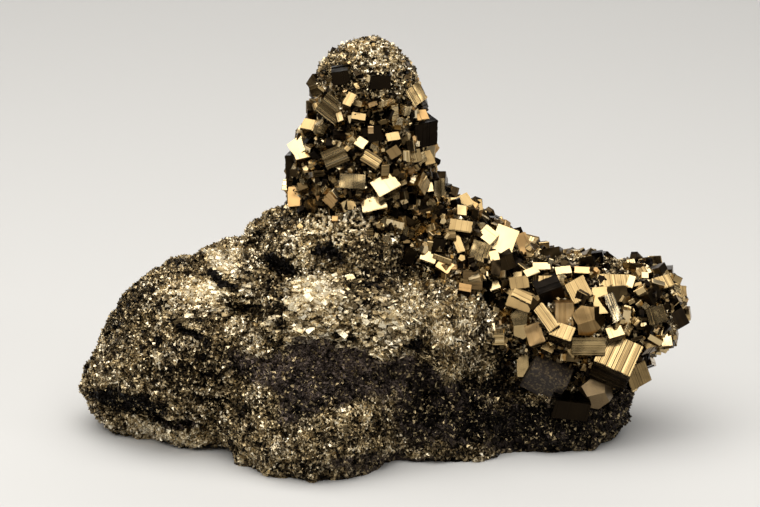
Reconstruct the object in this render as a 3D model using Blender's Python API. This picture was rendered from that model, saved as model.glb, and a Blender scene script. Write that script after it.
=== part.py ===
"""Pyrite specimen: one fused natural solid, resting on its flat cut base.

A lumpy body of massive pyrite carries a blunt tower, a rounded left lobe and a right lobe,
and flat-faced crystals stand out of the tower, the saddle and the right lobe.
Lengths are in millimetres until the mesh is made. X runs to the right, Y to the back, Z up.
"""

import math
import random
from typing import NamedTuple

import bmesh
import bpy
from mathutils import Euler, Matrix, Quaternion, Vector, noise
from mathutils.bvhtree import BVHTree

MM = 0.001

# Driving dimensions of the specimen
VOXEL = 1.6  # grain of the fused skin before it is thinned out
SOFTENING_ROUNDS = 6  # rounds of smoothing where lobes meet
FACE_SHARE = 0.1  # share of the skin's faces that the thinning keeps
BROAD_SWELL, BROAD_REACH = 2.2, 19.0  # height of the broad lumps, and how far apart they are
LUMP_SWELL, LUMP_REACH = 2.2, 8.5  # the same for the smaller lumps on them
BROAD_SHIFT, LUMP_SHIFT = Vector((3.1, 7.7, 1.3)), Vector((9.2, 4.4, 6.1))  # which lumps the noise gives
CREASE = 2.4  # how deep the creases between the smaller lumps are
CROWDING = 0.7  # distance between two crystals, as a share of their sides added up
LOWEST_CRYSTAL = 15.0  # height below which no crystal is scattered
SCATTERED_LEAN = 0.5  # how far a scattered crystal leans away from the skin's own direction
SCATTERED_SIDES = 0.75, 1.2  # its shortest and longest side, as shares of its size
SCATTERED_PROUD = 0.3  # how far it stands proud, as a share of its size
ROOF, RIDGE = 1.5, 0.75  # a twelve-faced crystal's reach past its cube, and half the length of its ridges
SCATTER_SEED = 11
MIDDLE = Vector((-0.92, -1.13, 0))  # where the grown specimen's middle lies in the lobes' numbers


class Lobe(NamedTuple):
    """A swelling, or a hollow, of the body: an ellipsoid turned about X, Y and Z."""

    name: str
    centre: tuple
    radii: tuple
    turn: tuple = (0, 0, 0)


class Crystal(NamedTuple):
    """A crystal: where it sits, the way its widest face looks, its spin about that, and its sides.

    The sides are the widest face's width and height, and the depth behind it. The crystal
    slides to the skin nearest its seat, and its face stands proud of the skin there.
    """

    name: str
    seat: tuple
    looks: tuple
    spin: float
    sides: tuple
    proud: float = 1.6
    form: str = "block"


class Patch(NamedTuple):
    """A region of the skin that crystals cover: an ellipsoid, and the crystals' sides in it."""

    name: str
    region: Lobe
    smallest: float
    largest: float


LOBES = (
    Lobe("left lobe", (-46, 3, 20), (27.2, 25, 23.6), (0, -24, 0)),
    Lobe("left toe", (-61, 5, 13), (16.8, 16.5, 14.5), (0, -20, 0)),
    Lobe("left rim", (-49, 1.5, 3), (23, 12, 8)),
    Lobe("left lobe's top", (-42, 3, 35.2), (17, 15, 11.5), (0, -20, 0)),
    Lobe("bright ledge", (-38, -6, 39), (9, 8, 6), (0, -20, 0)),
    Lobe("front foot", (-18.5, -15, 9), (22, 24, 21)),
    Lobe("front rim", (11, -2.5, 6), (30, 22, 16)),
    Lobe("middle", (-10, 5, 24), (34, 32, 30)),
    Lobe("middle ledge", (-8, -18.5, 37), (22, 8.5, 8.5), (10, 4, 0)),
    Lobe("hump under the tower", (-12, 0, 48), (20, 19, 13)),
    Lobe("back shoulder", (-26, 8, 49), (9, 9, 6), (0, -12, 0)),
    Lobe("tower's foot", (-6.5, 5, 65), (17.3, 14.5, 23)),
    Lobe("tower's head", (-5, 6, 85.3), (12.6, 12, 13)),
    Lobe("saddle", (15, 5, 46), (23, 15.5, 13.4), (0, 36, 0)),
    Lobe("right core", (30, 6, 28), (17, 17, 19)),
    Lobe("silvery knob", (13, -13, 29), (15, 12, 13)),
    Lobe("grainy knob", (19, -17, 16), (7, 7, 9)),
    Lobe("right lobe", (47, 1, 30.8), (20, 19.5, 13.2), (0, 5, 0)),
    Lobe("right end", (62.5, 1, 32), (11.5, 13.5, 10.5)),
    Lobe("under the right lobe", (51, 1, 20), (13, 15, 15), (0, -30, 0)),
    Lobe("right base", (43, 2, 8), (19.5, 21, 13)),
)

HOLLOWS = (
    Lobe("cave under the crystals", (33, -24, 14), (9, 10, 4)),
    Lobe("slot under the bright ledge", (-36, -19, 35.5), (8, 9, 2.2), (0, 10, 0)),
    Lobe("recess under the middle ledge", (-14, -36, 26), (24, 10, 5), (0, 5, 0)),
    Lobe("hollow beside the hump", (-28, -17, 46), (6, 8, 3), (0, 24, 0)),
    Lobe("cleft below the hump", (-13, -23, 47), (10, 7, 2.4), (0, 8, 0)),
    Lobe("slot above the left rim", (-58, -18, 8.5), (16, 9, 3), (0, 4, 0)),
    Lobe("back cleft", (6, 36, 26), (12, 9, 3), (0, 24, 0)),
)

PATCHES = (
    Patch("tower", Lobe("tower", (-6, 5, 74), (26, 26, 17)), 3.4, 5.2),
    Patch("saddle", Lobe("saddle", (20, 4, 52), (25, 24, 14), (0, 30, 0)), 3.4, 5.4),
    Patch("right lobe", Lobe("right lobe", (52, 0, 32), (30, 30, 17)), 4.0, 7.0),
    Patch("back ridge", Lobe("back ridge", (-30, 26, 34), (22, 14, 12)), 3.2, 4.6),
)

RIGHT_LOBE_CRYSTALS = (
    Crystal("striated cube", (55.7, -16, 26), (0.1, -0.7, 0.7), -30, (9.4, 9.2, 9), 4.5),
    Crystal("dark cube", (39.8, -11, 19.3), (0.35, -0.51, 0.78), -47, (9.8, 8.8, 7.5), 6.0),
    Crystal("olive crystal", (50.5, -12.4, 15), (0.05, -0.97, 0.2), 12, (9, 8, 8), 4.0, "pyritohedron"),
    Crystal("shaded crystal", (43, -14, 10.8), (0.1, -0.95, -0.2), -10, (9, 5, 7), 2.6),
    Crystal("brown crystal", (48.6, -19, 35), (-0.1, -0.95, 0.1), 20, (8.7, 8, 8), 2.8, "pyritohedron"),
    Crystal("long top block", (57.4, -10.6, 45.6), (0.1, -0.55, 0.83), -5, (8.5, 4.2, 5)),
    Crystal("grey top block", (56.5, -13.6, 42.3), (0.2, -0.95, 0.2), 0, (5.5, 3.6, 4)),
    Crystal("tall block", (52.9, -16.2, 40.2), (0, -0.8, 0.6), 5, (3.5, 6.8, 5)),
    Crystal("pale leaf", (54.6, -16.3, 37.6), (0.5, -0.75, 0.4), 10, (3, 7, 5), 2.4),
    Crystal("square block", (39.4, -10.9, 43.6), (-0.1, -0.7, 0.7), 3, (5, 4.2, 5)),
    Crystal("two-toned block", (46.5, -14.4, 42), (-0.35, -0.7, 0.6), 40, (5, 6, 5)),
    Crystal("shadowed block", (40.3, -13.3, 39.5), (0.2, -0.9, -0.3), 20, (6, 5, 6)),
    Crystal("bright prism", (42.6, -18.3, 32), (-0.1, -0.75, 0.65), -18, (5.5, 3.6, 5), 2.4),
    Crystal("slanting prism", (38.9, -16.8, 35.1), (-0.35, -0.7, 0.6), 48, (2.8, 8, 5)),
    Crystal("brown block", (42.7, -17.8, 36.8), (0.1, -0.98, 0.1), 0, (4.5, 6, 5)),
    Crystal("olive slab", (49, -18.3, 28.6), (0, -0.98, 0.15), 90, (4.2, 8, 6), 2.4),
    Crystal("small bright block", (56.1, -18.3, 31.4), (0.1, -0.75, 0.65), 15, (4, 2.8, 4)),
    Crystal("right block", (69.2, -7.1, 41.8), (0, -0.6, 0.8), 20, (4.2, 3.6, 4.5)),
    Crystal("end block", (75, -3, 38.8), (0.2, -0.75, 0.6), 12, (3, 4, 5), 0.4),
    Crystal("end shadow", (71, -7, 31.5), (0.3, -0.9, -0.3), 30, (5.5, 6, 6), 0.4),
    Crystal("right striated block", (66.1, -14.5, 35), (0, -0.9, 0.4), 15, (4.5, 4, 4)),
    Crystal(
        "left brown crystal", (32.8, -13.2, 32.5), (-0.2, -0.97, 0.05), 10, (6.5, 8, 6), form="pyritohedron",
    ),
    Crystal("left grey block", (32.5, -11.7, 38), (0, -0.8, 0.6), -20, (6, 5, 5)),
    Crystal("upper grey block", (32.3, -8.2, 40.9), (0, -0.7, 0.7), 8, (4.6, 3.4, 5)),
    Crystal("tan block", (36.1, -16, 30.5), (-0.3, -0.85, 0.4), 25, (4, 5, 4)),
    Crystal("long olive crystal", (33.6, -11, 20.7), (-0.3, -0.95, 0.1), 5, (2.8, 6.5, 4)),
    Crystal("low right block", (62, -10, 18), (0.4, -0.9, 0.1), 20, (6, 5.5, 6)),
    Crystal("first white slab", (35.4, -8, 45.2), (0, -0.6, 0.8), 25, (3.6, 2, 3), 1.8),
    Crystal("second white slab", (38.1, -7, 47.4), (0, -0.6, 0.8), 0, (4.2, 2, 3), 1.8),
    Crystal("third white slab", (43, -9, 47.2), (0, -0.6, 0.8), 8, (3.8, 2.2, 3), 1.8),
    Crystal("fourth white slab", (47, -9, 47), (0, -0.6, 0.8), -4, (3.6, 1.8, 3), 1.8),
)

TOWER_CRYSTALS = (
    Crystal("left prism", (-20.3, -1, 67.5), (-0.2, -0.97, 0), 2, (5.3, 9.4, 8), -0.6),
    Crystal("left prism's bright cap", (-22, -1, 74.3), (-0.35, -0.65, 0.7), 50, (4.2, 4.8, 6), 1.2),
    Crystal("left upper block", (-18.3, -1.5, 79.2), (-0.1, -0.6, 0.8), -12, (5, 3.2, 5)),
    Crystal("dark square", (-3.9, -7.3, 79.3), (0.1, -0.97, -0.2), 12, (4.6, 4, 5)),
    Crystal("striated block", (-13, -9.4, 74), (-0.2, -0.95, 0.2), 115, (4.4, 6, 5)),
    Crystal("upper striated block", (-13.7, -5, 85), (-0.2, -0.95, 0.2), 55, (5.5, 6, 6)),
    Crystal("light striated block", (-4.2, -9.3, 73), (0.1, -0.85, 0.5), 55, (3.2, 4.5, 4)),
    Crystal("white facet", (-0.8, -9.4, 66.8), (0.05, -0.75, 0.66), 30, (6, 4.4, 5)),
    Crystal("tan slab", (-8.8, -10.8, 68.2), (0, -0.9, 0.4), -3, (6.2, 3.4, 5)),
    Crystal("right dark cube", (10, -1, 78), (0.5, -0.85, -0.2), 5, (6.5, 6.5, 7), 3.6),
    Crystal("right orange block", (11.8, -1, 81.5), (0.3, -0.6, 0.7), 0, (3.2, 2.8, 4), 2.2),
    Crystal("right olive block", (7.1, -0.8, 87.5), (0.4, -0.85, 0.3), 25, (4.2, 4.5, 4)),
    Crystal("left low block", (-22.8, -2.2, 62), (-0.2, -0.8, 0.55), 8, (3, 5, 4)),
    Crystal("lower white facet", (-3.5, -10.5, 62), (0, -0.75, 0.66), 15, (6, 3.5, 4)),
    Crystal("upper dark block", (-2, -6, 92), (0.1, -0.95, -0.2), 0, (5, 3.4, 4)),
    Crystal("upper left dark block", (-10.8, -4.1, 92.5), (0, -0.97, -0.2), 10, (4, 3.4, 4)),
    Crystal("cream shard", (-9.4, -8, 87.4), (0, -0.75, 0.65), -25, (2, 3.6, 3)),
    Crystal("cream wedge", (-7.3, -9, 83.6), (0.1, -0.72, 0.68), -12, (3.4, 1.9, 3)),
    Crystal("white shard", (-6.1, -10, 77.6), (0, -0.75, 0.65), -35, (2.6, 2.4, 3)),
    Crystal("cream block", (2, -8, 78.8), (0.1, -0.72, 0.68), 10, (3.2, 2.2, 3)),
    Crystal("pale right block", (9.5, -1, 71.3), (0.3, -0.7, 0.6), 10, (2.8, 3.6, 3)),
    Crystal("pink block", (1.6, -9, 74.9), (0.1, -0.8, 0.5), 30, (3, 2.6, 3)),
)

SADDLE_CRYSTALS = (
    Crystal("grey prism", (12.7, 1, 63.2), (0.3, -0.9, 0.3), -5, (2.8, 5.2, 4)),
    Crystal("ridge block", (18.8, 3, 58.8), (0.2, -0.7, 0.7), 23, (3.5, 3.5, 4)),
    Crystal("tan block", (17.9, -7.7, 55.7), (0, -0.7, 0.7), -10, (5.4, 3, 4)),
    Crystal("white block", (24.7, -6.6, 52.8), (0.1, -0.7, 0.7), 45, (4, 4, 4)),
    Crystal("big pale block", (27.9, -3.5, 50.4), (0.1, -0.75, 0.65), -25, (5.5, 7.5, 6), 2.2),
    Crystal("rosy block", (33.2, 2, 48.2), (0.4, -0.8, 0.5), 10, (3.5, 5, 4)),
    Crystal("grey-green block", (22.6, -9.8, 50.6), (0.1, -0.9, 0.4), -20, (4.6, 4.6, 4)),
    Crystal("white chip", (10, -10.5, 48.8), (0, -0.75, 0.65), -20, (3.8, 3.2, 4)),
    Crystal("second white chip", (13.7, -11.6, 46.6), (0.1, -0.72, 0.68), -40, (3.5, 3, 3.5)),
    Crystal("dark block", (12.2, -10.4, 52), (0, -0.97, -0.2), -8, (3, 4, 4)),
    Crystal("lower dark block", (28.4, -8, 46.5), (0.2, -0.95, -0.2), 20, (6, 4, 5)),
    Crystal("slanting bar", (33.2, -11.8, 38.9), (0, -0.8, 0.6), 62, (2, 6, 4)),
    Crystal("cream sliver", (17.5, -10, 51.8), (0.1, -0.75, 0.65), 15, (1.9, 4.4, 3)),
    Crystal("white cube", (9.9, -2, 63.8), (0, -0.7, 0.7), 10, (2.4, 2.4, 3)),
    Crystal("low white chip", (25.9, -9, 48.2), (0.1, -0.75, 0.65), 10, (2.2, 2.4, 3)),
    Crystal("white strip", (26.2, -12, 44.4), (0, -0.7, 0.7), -8, (3.8, 1.8, 3)),
    Crystal("lowest white chip", (26.2, -13, 41.2), (0, -0.75, 0.65), 20, (2.6, 2.2, 3)),
)


def turned(centre, turn, radii=(1, 1, 1)):
    """The matrix that scales by radii, turns by degrees and moves to centre."""
    angles = Euler([math.radians(angle) for angle in turn])
    return Matrix.LocRotScale(Vector(centre), angles, Vector(radii))


def new_object(name, shape):
    """A scene object that holds what the bmesh holds."""
    mesh = bpy.data.meshes.new(name)
    shape.to_mesh(mesh)
    shape.free()
    obj = bpy.data.objects.new(name, mesh)
    bpy.context.scene.collection.objects.link(obj)
    return obj


def ellipsoids(name, lobes):
    """One object that holds every ellipsoid of the list, not yet fused."""
    shape = bmesh.new()
    for lobe in lobes:
        matrix = turned(lobe.centre, lobe.turn, lobe.radii)
        bmesh.ops.create_icosphere(shape, subdivisions=4, radius=1, matrix=matrix)
    return new_object(name, shape)


def apply_modifiers(obj):
    """Replaces the object's mesh by what its modifiers make of it."""
    graph = bpy.context.evaluated_depsgraph_get()
    mesh = bpy.data.meshes.new_from_object(obj.evaluated_get(graph))
    obj.modifiers.clear()
    obj.data = mesh


def fuse(obj):
    """Makes what overlaps in the object one closed skin."""
    remesh = obj.modifiers.new("Fuse", "REMESH")
    remesh.mode = "VOXEL"
    remesh.voxel_size = VOXEL
    apply_modifiers(obj)


def combine(obj, other, operation):
    """Joins the other object to this one, or cuts it away."""
    boolean = obj.modifiers.new(operation.title(), "BOOLEAN")
    boolean.operation = operation
    boolean.solver = "EXACT"
    boolean.use_self = True
    boolean.object = other
    apply_modifiers(obj)
    bpy.data.objects.remove(other)


def swell(point):
    """How far the surface stands proud of the lobes at a point."""
    broad = noise.noise(point / BROAD_REACH + BROAD_SHIFT)
    lumps = noise.noise(point / LUMP_REACH + LUMP_SHIFT)
    return BROAD_SWELL * broad + LUMP_SWELL * (1 - CREASE * abs(lumps)) * 0.5


def lumpy_skin():
    """The lobes as one lumpy skin, with the hollows cut in and the joints softened."""
    skin = ellipsoids("pyrite_specimen", LOBES)
    fuse(skin)
    combine(skin, ellipsoids("hollows", HOLLOWS), "DIFFERENCE")
    fuse(skin)
    soften = skin.modifiers.new("Soften", "SMOOTH")
    soften.factor = 0.5
    soften.iterations = SOFTENING_ROUNDS
    apply_modifiers(skin)
    normals = [vertex.normal.copy() for vertex in skin.data.vertices]
    for vertex, normal in zip(skin.data.vertices, normals):
        vertex.co += normal * swell(vertex.co)
    return skin


def seated(crystal, skin_tree):
    """The matrix that puts a crystal on the skin, from a block whose sides are 2 long."""
    seat, outward, *_ = skin_tree.find_nearest(Vector(crystal.seat))
    looks = Vector(crystal.looks).normalized()
    turn = looks.to_track_quat("Z", "Y") @ Quaternion((0, 0, 1), math.radians(crystal.spin))
    middle = seat + crystal.proud * outward.lerp(looks, 0.5) - looks * crystal.sides[2] / 2
    return Matrix.LocRotScale(middle, turn, Vector(crystal.sides) / 2)


def covers(region, point):
    """How deep a point is in a region: 0 at its edge and outside, 1 at its middle."""
    inside = turned(region.centre, region.turn, region.radii).inverted() @ point
    return max(0.0, 1 - inside.length)


def scattered_crystals(skin, placed):
    """More crystals, wherever a patch of the skin still has room for one."""
    chance = random.Random(SCATTER_SEED)
    vertices = skin.data.vertices
    order = list(range(len(vertices)))
    chance.shuffle(order)
    taken = [(Vector(crystal.seat), max(crystal.sides[:2])) for crystal in placed]
    found = []
    for index in order:
        point = vertices[index].co
        deep, patch = max((covers(patch.region, point), patch) for patch in PATCHES)
        if deep == 0 or point.z < LOWEST_CRYSTAL:
            continue
        size = patch.smallest + (patch.largest - patch.smallest) * chance.random() ** 2
        if any((point - other).length < CROWDING * (size + width) for other, width in taken):
            continue
        outward = vertices[index].normal
        looks = (outward + Vector([chance.gauss(0, SCATTERED_LEAN) for _ in range(3)])).normalized()
        sides = [size * chance.uniform(*SCATTERED_SIDES) for _ in range(3)]
        proud = size * SCATTERED_PROUD
        found.append(Crystal("scattered", point, looks, chance.uniform(0, 90), sides, proud))
        taken.append((point, size))
    return found


def add_crystal(shape, crystal, skin_tree):
    """Adds one crystal: a block, or a pyritohedron with its twelve five-sided faces."""
    matrix = seated(crystal, skin_tree)
    if crystal.form == "block":
        bmesh.ops.create_cube(shape, size=2, matrix=matrix)
        return
    corners = [Vector((x, y, z)) for x in (-1, 1) for y in (-1, 1) for z in (-1, 1)]
    for long in (-ROOF, ROOF):
        for short in (-RIDGE, RIDGE):
            corners += [Vector((0, long, short)), Vector((short, 0, long)), Vector((long, short, 0))]
    made = [shape.verts.new(matrix @ (corner / ROOF)) for corner in corners]
    bmesh.ops.convex_hull(shape, input=made)


def brassy_grey():
    """The material of the whole specimen: pale brassy pyrite."""
    material = bpy.data.materials.new("pyrite")
    material.use_nodes = True
    principled = material.node_tree.nodes["Principled BSDF"]
    principled.inputs["Base Color"].default_value = (0.42, 0.35, 0.22, 1)
    principled.inputs["Metallic"].default_value = 0.9
    principled.inputs["Roughness"].default_value = 0.35
    return material


def main():
    for obj in list(bpy.data.objects):
        bpy.data.objects.remove(obj)
    body = lumpy_skin()
    skin_tree = BVHTree.FromObject(body, bpy.context.evaluated_depsgraph_get())
    placed = RIGHT_LOBE_CRYSTALS + TOWER_CRYSTALS + SADDLE_CRYSTALS
    crystals = bmesh.new()
    for crystal in (*placed, *scattered_crystals(body, placed)):
        add_crystal(crystals, crystal, skin_tree)
    thin = body.modifiers.new("Thin out", "DECIMATE")
    thin.ratio = FACE_SHARE
    apply_modifiers(body)
    combine(body, new_object("crystals", crystals), "UNION")
    ground = bmesh.new()
    bmesh.ops.create_cube(ground, size=1, matrix=turned((0, 0, -50), (0, 0, 0), (300, 300, 100)))
    combine(body, new_object("below the base", ground), "DIFFERENCE")
    body.data.transform(Matrix.Scale(MM, 4) @ Matrix.Translation(-MIDDLE))
    body.data.materials.append(brassy_grey())


main()
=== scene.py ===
"""Looks of a pyrite specimen: a lumpy grown body, its large crystals, a crust of small ones, and fine grain.

It is laid out as an add-on with a panel in the 3D view's sidebar, and runs as a script too.
Tables are in millimetres, in the numbers that the lobes are set out in; meshes are in metres.
"""

import math
import random
from typing import NamedTuple

import bmesh
import bpy
import numpy as np
from bpy.props import FloatProperty, FloatVectorProperty, IntProperty, PointerProperty
from mathutils import Euler, Matrix, Quaternion, Vector, noise
from mathutils.bvhtree import BVHTree


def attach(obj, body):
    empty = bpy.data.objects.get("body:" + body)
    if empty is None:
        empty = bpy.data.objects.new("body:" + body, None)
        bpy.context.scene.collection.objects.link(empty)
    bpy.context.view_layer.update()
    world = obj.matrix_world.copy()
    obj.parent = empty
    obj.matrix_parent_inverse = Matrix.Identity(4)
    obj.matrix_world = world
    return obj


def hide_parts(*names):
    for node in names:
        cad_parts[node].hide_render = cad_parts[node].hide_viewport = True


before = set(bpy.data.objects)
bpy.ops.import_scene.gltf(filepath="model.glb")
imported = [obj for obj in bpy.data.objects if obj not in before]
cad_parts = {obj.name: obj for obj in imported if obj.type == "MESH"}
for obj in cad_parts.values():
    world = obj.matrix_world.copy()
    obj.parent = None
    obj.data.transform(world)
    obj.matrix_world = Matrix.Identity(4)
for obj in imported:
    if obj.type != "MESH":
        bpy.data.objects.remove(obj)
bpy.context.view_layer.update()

bl_info = {
    "name": "Pyrite specimen",
    "version": (1, 0, 0),
    "blender": (4, 5, 0),
    "location": "View3D > Sidebar > Specimen",
    "description": "Grows the crystals, the grain and the stage of a pyrite specimen",
    "category": "Object",
}

MM = 0.001
NODE = "pyrite_specimen"
BODY = "specimen_body"
VOXEL, FINE_VOXEL = 1.6, 0.66
SOFTENING_ROUNDS = 6
BROAD_SWELL, BROAD_REACH = 2.2, 19.0
LUMP_SWELL, LUMP_REACH = 2.2, 8.5
CROWDING = 0.7
LOWEST_CRYSTAL = 15.0
SCATTER_SEED = 11
MIDDLE = Vector((-0.92, -1.13, 0))


class Lobe(NamedTuple):
    """A swelling, a hollow or a region of the body: an ellipsoid turned about X, Y and Z."""

    name: str
    centre: tuple
    radii: tuple
    turn: tuple = (0, 0, 0)


class Crystal(NamedTuple):
    """A crystal: its seat, where its widest face looks, its spin and its sides.

    Its tone goes from dark to pale, its lines from none to strong, and its hue from yellow to orange;
    chance sets those that are below 0. Soot dulls it.
    """

    name: str
    seat: tuple
    looks: tuple
    spin: float
    sides: tuple
    proud: float = 1.6
    form: str = "block"
    tone: float = -1
    lines: float = -1
    hue: float = -1
    soot: float = 0


class Patch(NamedTuple):
    """A region of the skin that crystals cover, and the crystals' sides in it."""

    name: str
    region: Lobe
    smallest: float
    largest: float


LOBES = (
    Lobe("left lobe", (-46, 3, 20), (27.2, 25, 23.6), (0, -24, 0)),
    Lobe("left toe", (-61, 5, 13), (16.8, 16.5, 14.5), (0, -20, 0)),
    Lobe("left rim", (-49, 1.5, 3), (23, 12, 8)),
    Lobe("left lobe's top", (-42, 3, 35.2), (17, 15, 11.5), (0, -20, 0)),
    Lobe("bright ledge", (-38, -6, 39), (9, 8, 6), (0, -20, 0)),
    Lobe("front foot", (-18.5, -15, 9), (22, 24, 21)),
    Lobe("front rim", (11, -2.5, 6), (30, 22, 16)),
    Lobe("middle", (-10, 5, 24), (34, 32, 30)),
    Lobe("middle ledge", (-8, -18.5, 37), (22, 8.5, 8.5), (10, 4, 0)),
    Lobe("hump under the tower", (-12, 0, 48), (20, 19, 13)),
    Lobe("back shoulder", (-26, 8, 49), (9, 9, 6), (0, -12, 0)),
    Lobe("tower's foot", (-6.5, 5, 65), (17.3, 14.5, 23)),
    Lobe("tower's head", (-5, 6, 85.3), (12.6, 12, 13)),
    Lobe("saddle", (15, 5, 46), (23, 15.5, 13.4), (0, 36, 0)),
    Lobe("right core", (30, 6, 28), (17, 17, 19)),
    Lobe("silvery knob", (13, -13, 29), (15, 12, 13)),
    Lobe("grainy knob", (19, -17, 16), (7, 7, 9)),
    Lobe("right lobe", (47, 1, 30.8), (20, 19.5, 13.2), (0, 5, 0)),
    Lobe("right end", (62.5, 1, 32), (11.5, 13.5, 10.5)),
    Lobe("under the right lobe", (51, 1, 20), (13, 15, 15), (0, -30, 0)),
    Lobe("right base", (43, 2, 8), (19.5, 21, 13)),
)

HOLLOWS = (
    Lobe("cave under the crystals", (33, -24, 14), (9, 10, 4)),
    Lobe("slot under the bright ledge", (-36, -19, 35.5), (8, 9, 2.2), (0, 10, 0)),
    Lobe("recess under the middle ledge", (-14, -36, 26), (24, 10, 5), (0, 5, 0)),
    Lobe("hollow beside the hump", (-28, -17, 46), (6, 8, 3), (0, 24, 0)),
    Lobe("cleft below the hump", (-13, -23, 47), (10, 7, 2.4), (0, 8, 0)),
    Lobe("slot above the left rim", (-58, -18, 8.5), (16, 9, 3), (0, 4, 0)),
    Lobe("back cleft", (6, 36, 26), (12, 9, 3), (0, 24, 0)),
)

PATCHES = (
    Patch("tower", Lobe("tower", (-6, 5, 74), (26, 26, 17)), 3.4, 5.2),
    Patch("saddle", Lobe("saddle", (20, 4, 52), (25, 24, 14), (0, 30, 0)), 3.4, 5.4),
    Patch("right lobe", Lobe("right lobe", (52, 0, 32), (30, 30, 17)), 4.0, 7.0),
    Patch("back ridge", Lobe("back ridge", (-30, 26, 34), (22, 14, 12)), 3.2, 4.6),
)

# Tones in these three tables were matched to how bright each crystal looks from the front, so besides each crystal's
# own colour they hold painted highlights on the white and cream slabs, chips and facets, and painted shade on the
# shaded crystal, the shadowed block and the end shadow
RIGHT_LOBE_CRYSTALS = (
    Crystal(
        "striated cube", (55.7, -16, 26), (0.1, -0.7, 0.7), -30, (9.4, 9.2, 9), 4.5, tone=0.55, lines=1.4,
    ),
    Crystal(
        "dark cube", (39.8, -11, 19.3), (0.35, -0.51, 0.78), -47, (9.8, 8.8, 7.5), 6.0, tone=0, lines=0, soot=1,
    ),
    Crystal(
        "olive crystal", (50.5, -12.4, 15), (0.05, -0.97, 0.2), 12, (9, 8, 8), 4.0, form="pyritohedron", tone=0.34, lines=0, hue=0.5, soot=0.25,
    ),
    Crystal("shaded crystal", (43, -14, 10.8), (0.1, -0.95, -0.2), -10, (9, 5, 7), 2.6, tone=0.05, lines=0),
    Crystal(
        "brown crystal", (48.6, -19, 35), (-0.1, -0.95, 0.1), 20, (8.7, 8, 8), 2.8, form="pyritohedron", tone=0.36, lines=0.5, hue=1,
    ),
    Crystal(
        "long top block", (57.4, -10.6, 45.6), (0.1, -0.55, 0.83), -5, (8.5, 4.2, 5), tone=0.55, lines=0.6,
    ),
    Crystal("grey top block", (56.5, -13.6, 42.3), (0.2, -0.95, 0.2), 0, (5.5, 3.6, 4), tone=0.4, lines=0),
    Crystal("tall block", (52.9, -16.2, 40.2), (0, -0.8, 0.6), 5, (3.5, 6.8, 5), tone=0.55, lines=0),
    Crystal("pale leaf", (54.6, -16.3, 37.6), (0.5, -0.75, 0.4), 10, (3, 7, 5), 2.4, tone=0.85, lines=0.4),
    Crystal("square block", (39.4, -10.9, 43.6), (-0.1, -0.7, 0.7), 3, (5, 4.2, 5), tone=0.48, lines=0.7),
    Crystal("two-toned block", (46.5, -14.4, 42), (-0.35, -0.7, 0.6), 40, (5, 6, 5), tone=0.5, lines=0.4),
    Crystal("shadowed block", (40.3, -13.3, 39.5), (0.2, -0.9, -0.3), 20, (6, 5, 6), tone=0.05, lines=0),
    Crystal(
        "bright prism", (42.6, -18.3, 32), (-0.1, -0.75, 0.65), -18, (5.5, 3.6, 5), 2.4, tone=0.55, lines=0.5,
    ),
    Crystal("slanting prism", (38.9, -16.8, 35.1), (-0.35, -0.7, 0.6), 48, (2.8, 8, 5), tone=0.51, lines=1),
    Crystal(
        "brown block", (42.7, -17.8, 36.8), (0.1, -0.98, 0.1), 0, (4.5, 6, 5), tone=0.68, lines=0.8, hue=1,
    ),
    Crystal(
        "olive slab", (49, -18.3, 28.6), (0, -0.98, 0.15), 90, (4.2, 8, 6), 2.4, tone=0.62, lines=0.5, hue=0.5,
    ),
    Crystal(
        "small bright block", (56.1, -18.3, 31.4), (0.1, -0.75, 0.65), 15, (4, 2.8, 4), tone=0.72, lines=0,
    ),
    Crystal("right block", (69.2, -7.1, 41.8), (0, -0.6, 0.8), 20, (4.2, 3.6, 4.5), tone=0.51, lines=0.8),
    Crystal("end block", (75, -3, 38.8), (0.2, -0.75, 0.6), 12, (3, 4, 5), 0.4, tone=0.54, lines=0.4),
    Crystal("end shadow", (71, -7, 31.5), (0.3, -0.9, -0.3), 30, (5.5, 6, 6), 0.4, tone=0.1, lines=0.6),
    Crystal("right striated block", (66.1, -14.5, 35), (0, -0.9, 0.4), 15, (4.5, 4, 4), tone=0.62, lines=2),
    Crystal(
        "left brown crystal", (32.8, -13.2, 32.5), (-0.2, -0.97, 0.05), 10, (6.5, 8, 6), form="pyritohedron", tone=0.6, lines=0, hue=0.5,
    ),
    Crystal(
        "left grey block", (32.5, -11.7, 38), (0, -0.8, 0.6), -20, (6, 5, 5), tone=0.34, lines=0, hue=0.5,
    ),
    Crystal(
        "upper grey block", (32.3, -8.2, 40.9), (0, -0.7, 0.7), 8, (4.6, 3.4, 5), tone=0.34, lines=0.3, hue=0.5,
    ),
    Crystal("tan block", (36.1, -16, 30.5), (-0.3, -0.85, 0.4), 25, (4, 5, 4), tone=0.72, lines=0.3, hue=1),
    Crystal(
        "long olive crystal", (33.6, -11, 20.7), (-0.3, -0.95, 0.1), 5, (2.8, 6.5, 4), tone=0.62, lines=0, hue=0.5,
    ),
    Crystal("low right block", (62, -10, 18), (0.4, -0.9, 0.1), 20, (6, 5.5, 6), tone=0.45, lines=0.4),
    Crystal("first white slab", (35.4, -8, 45.2), (0, -0.6, 0.8), 25, (3.6, 2, 3), 1.8, tone=0.72, lines=0),
    Crystal("second white slab", (38.1, -7, 47.4), (0, -0.6, 0.8), 0, (4.2, 2, 3), 1.8, tone=0.72, lines=0),
    Crystal("third white slab", (43, -9, 47.2), (0, -0.6, 0.8), 8, (3.8, 2.2, 3), 1.8, tone=0.71, lines=0),
    Crystal("fourth white slab", (47, -9, 47), (0, -0.6, 0.8), -4, (3.6, 1.8, 3), 1.8, tone=0.72, lines=0),
)

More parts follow.
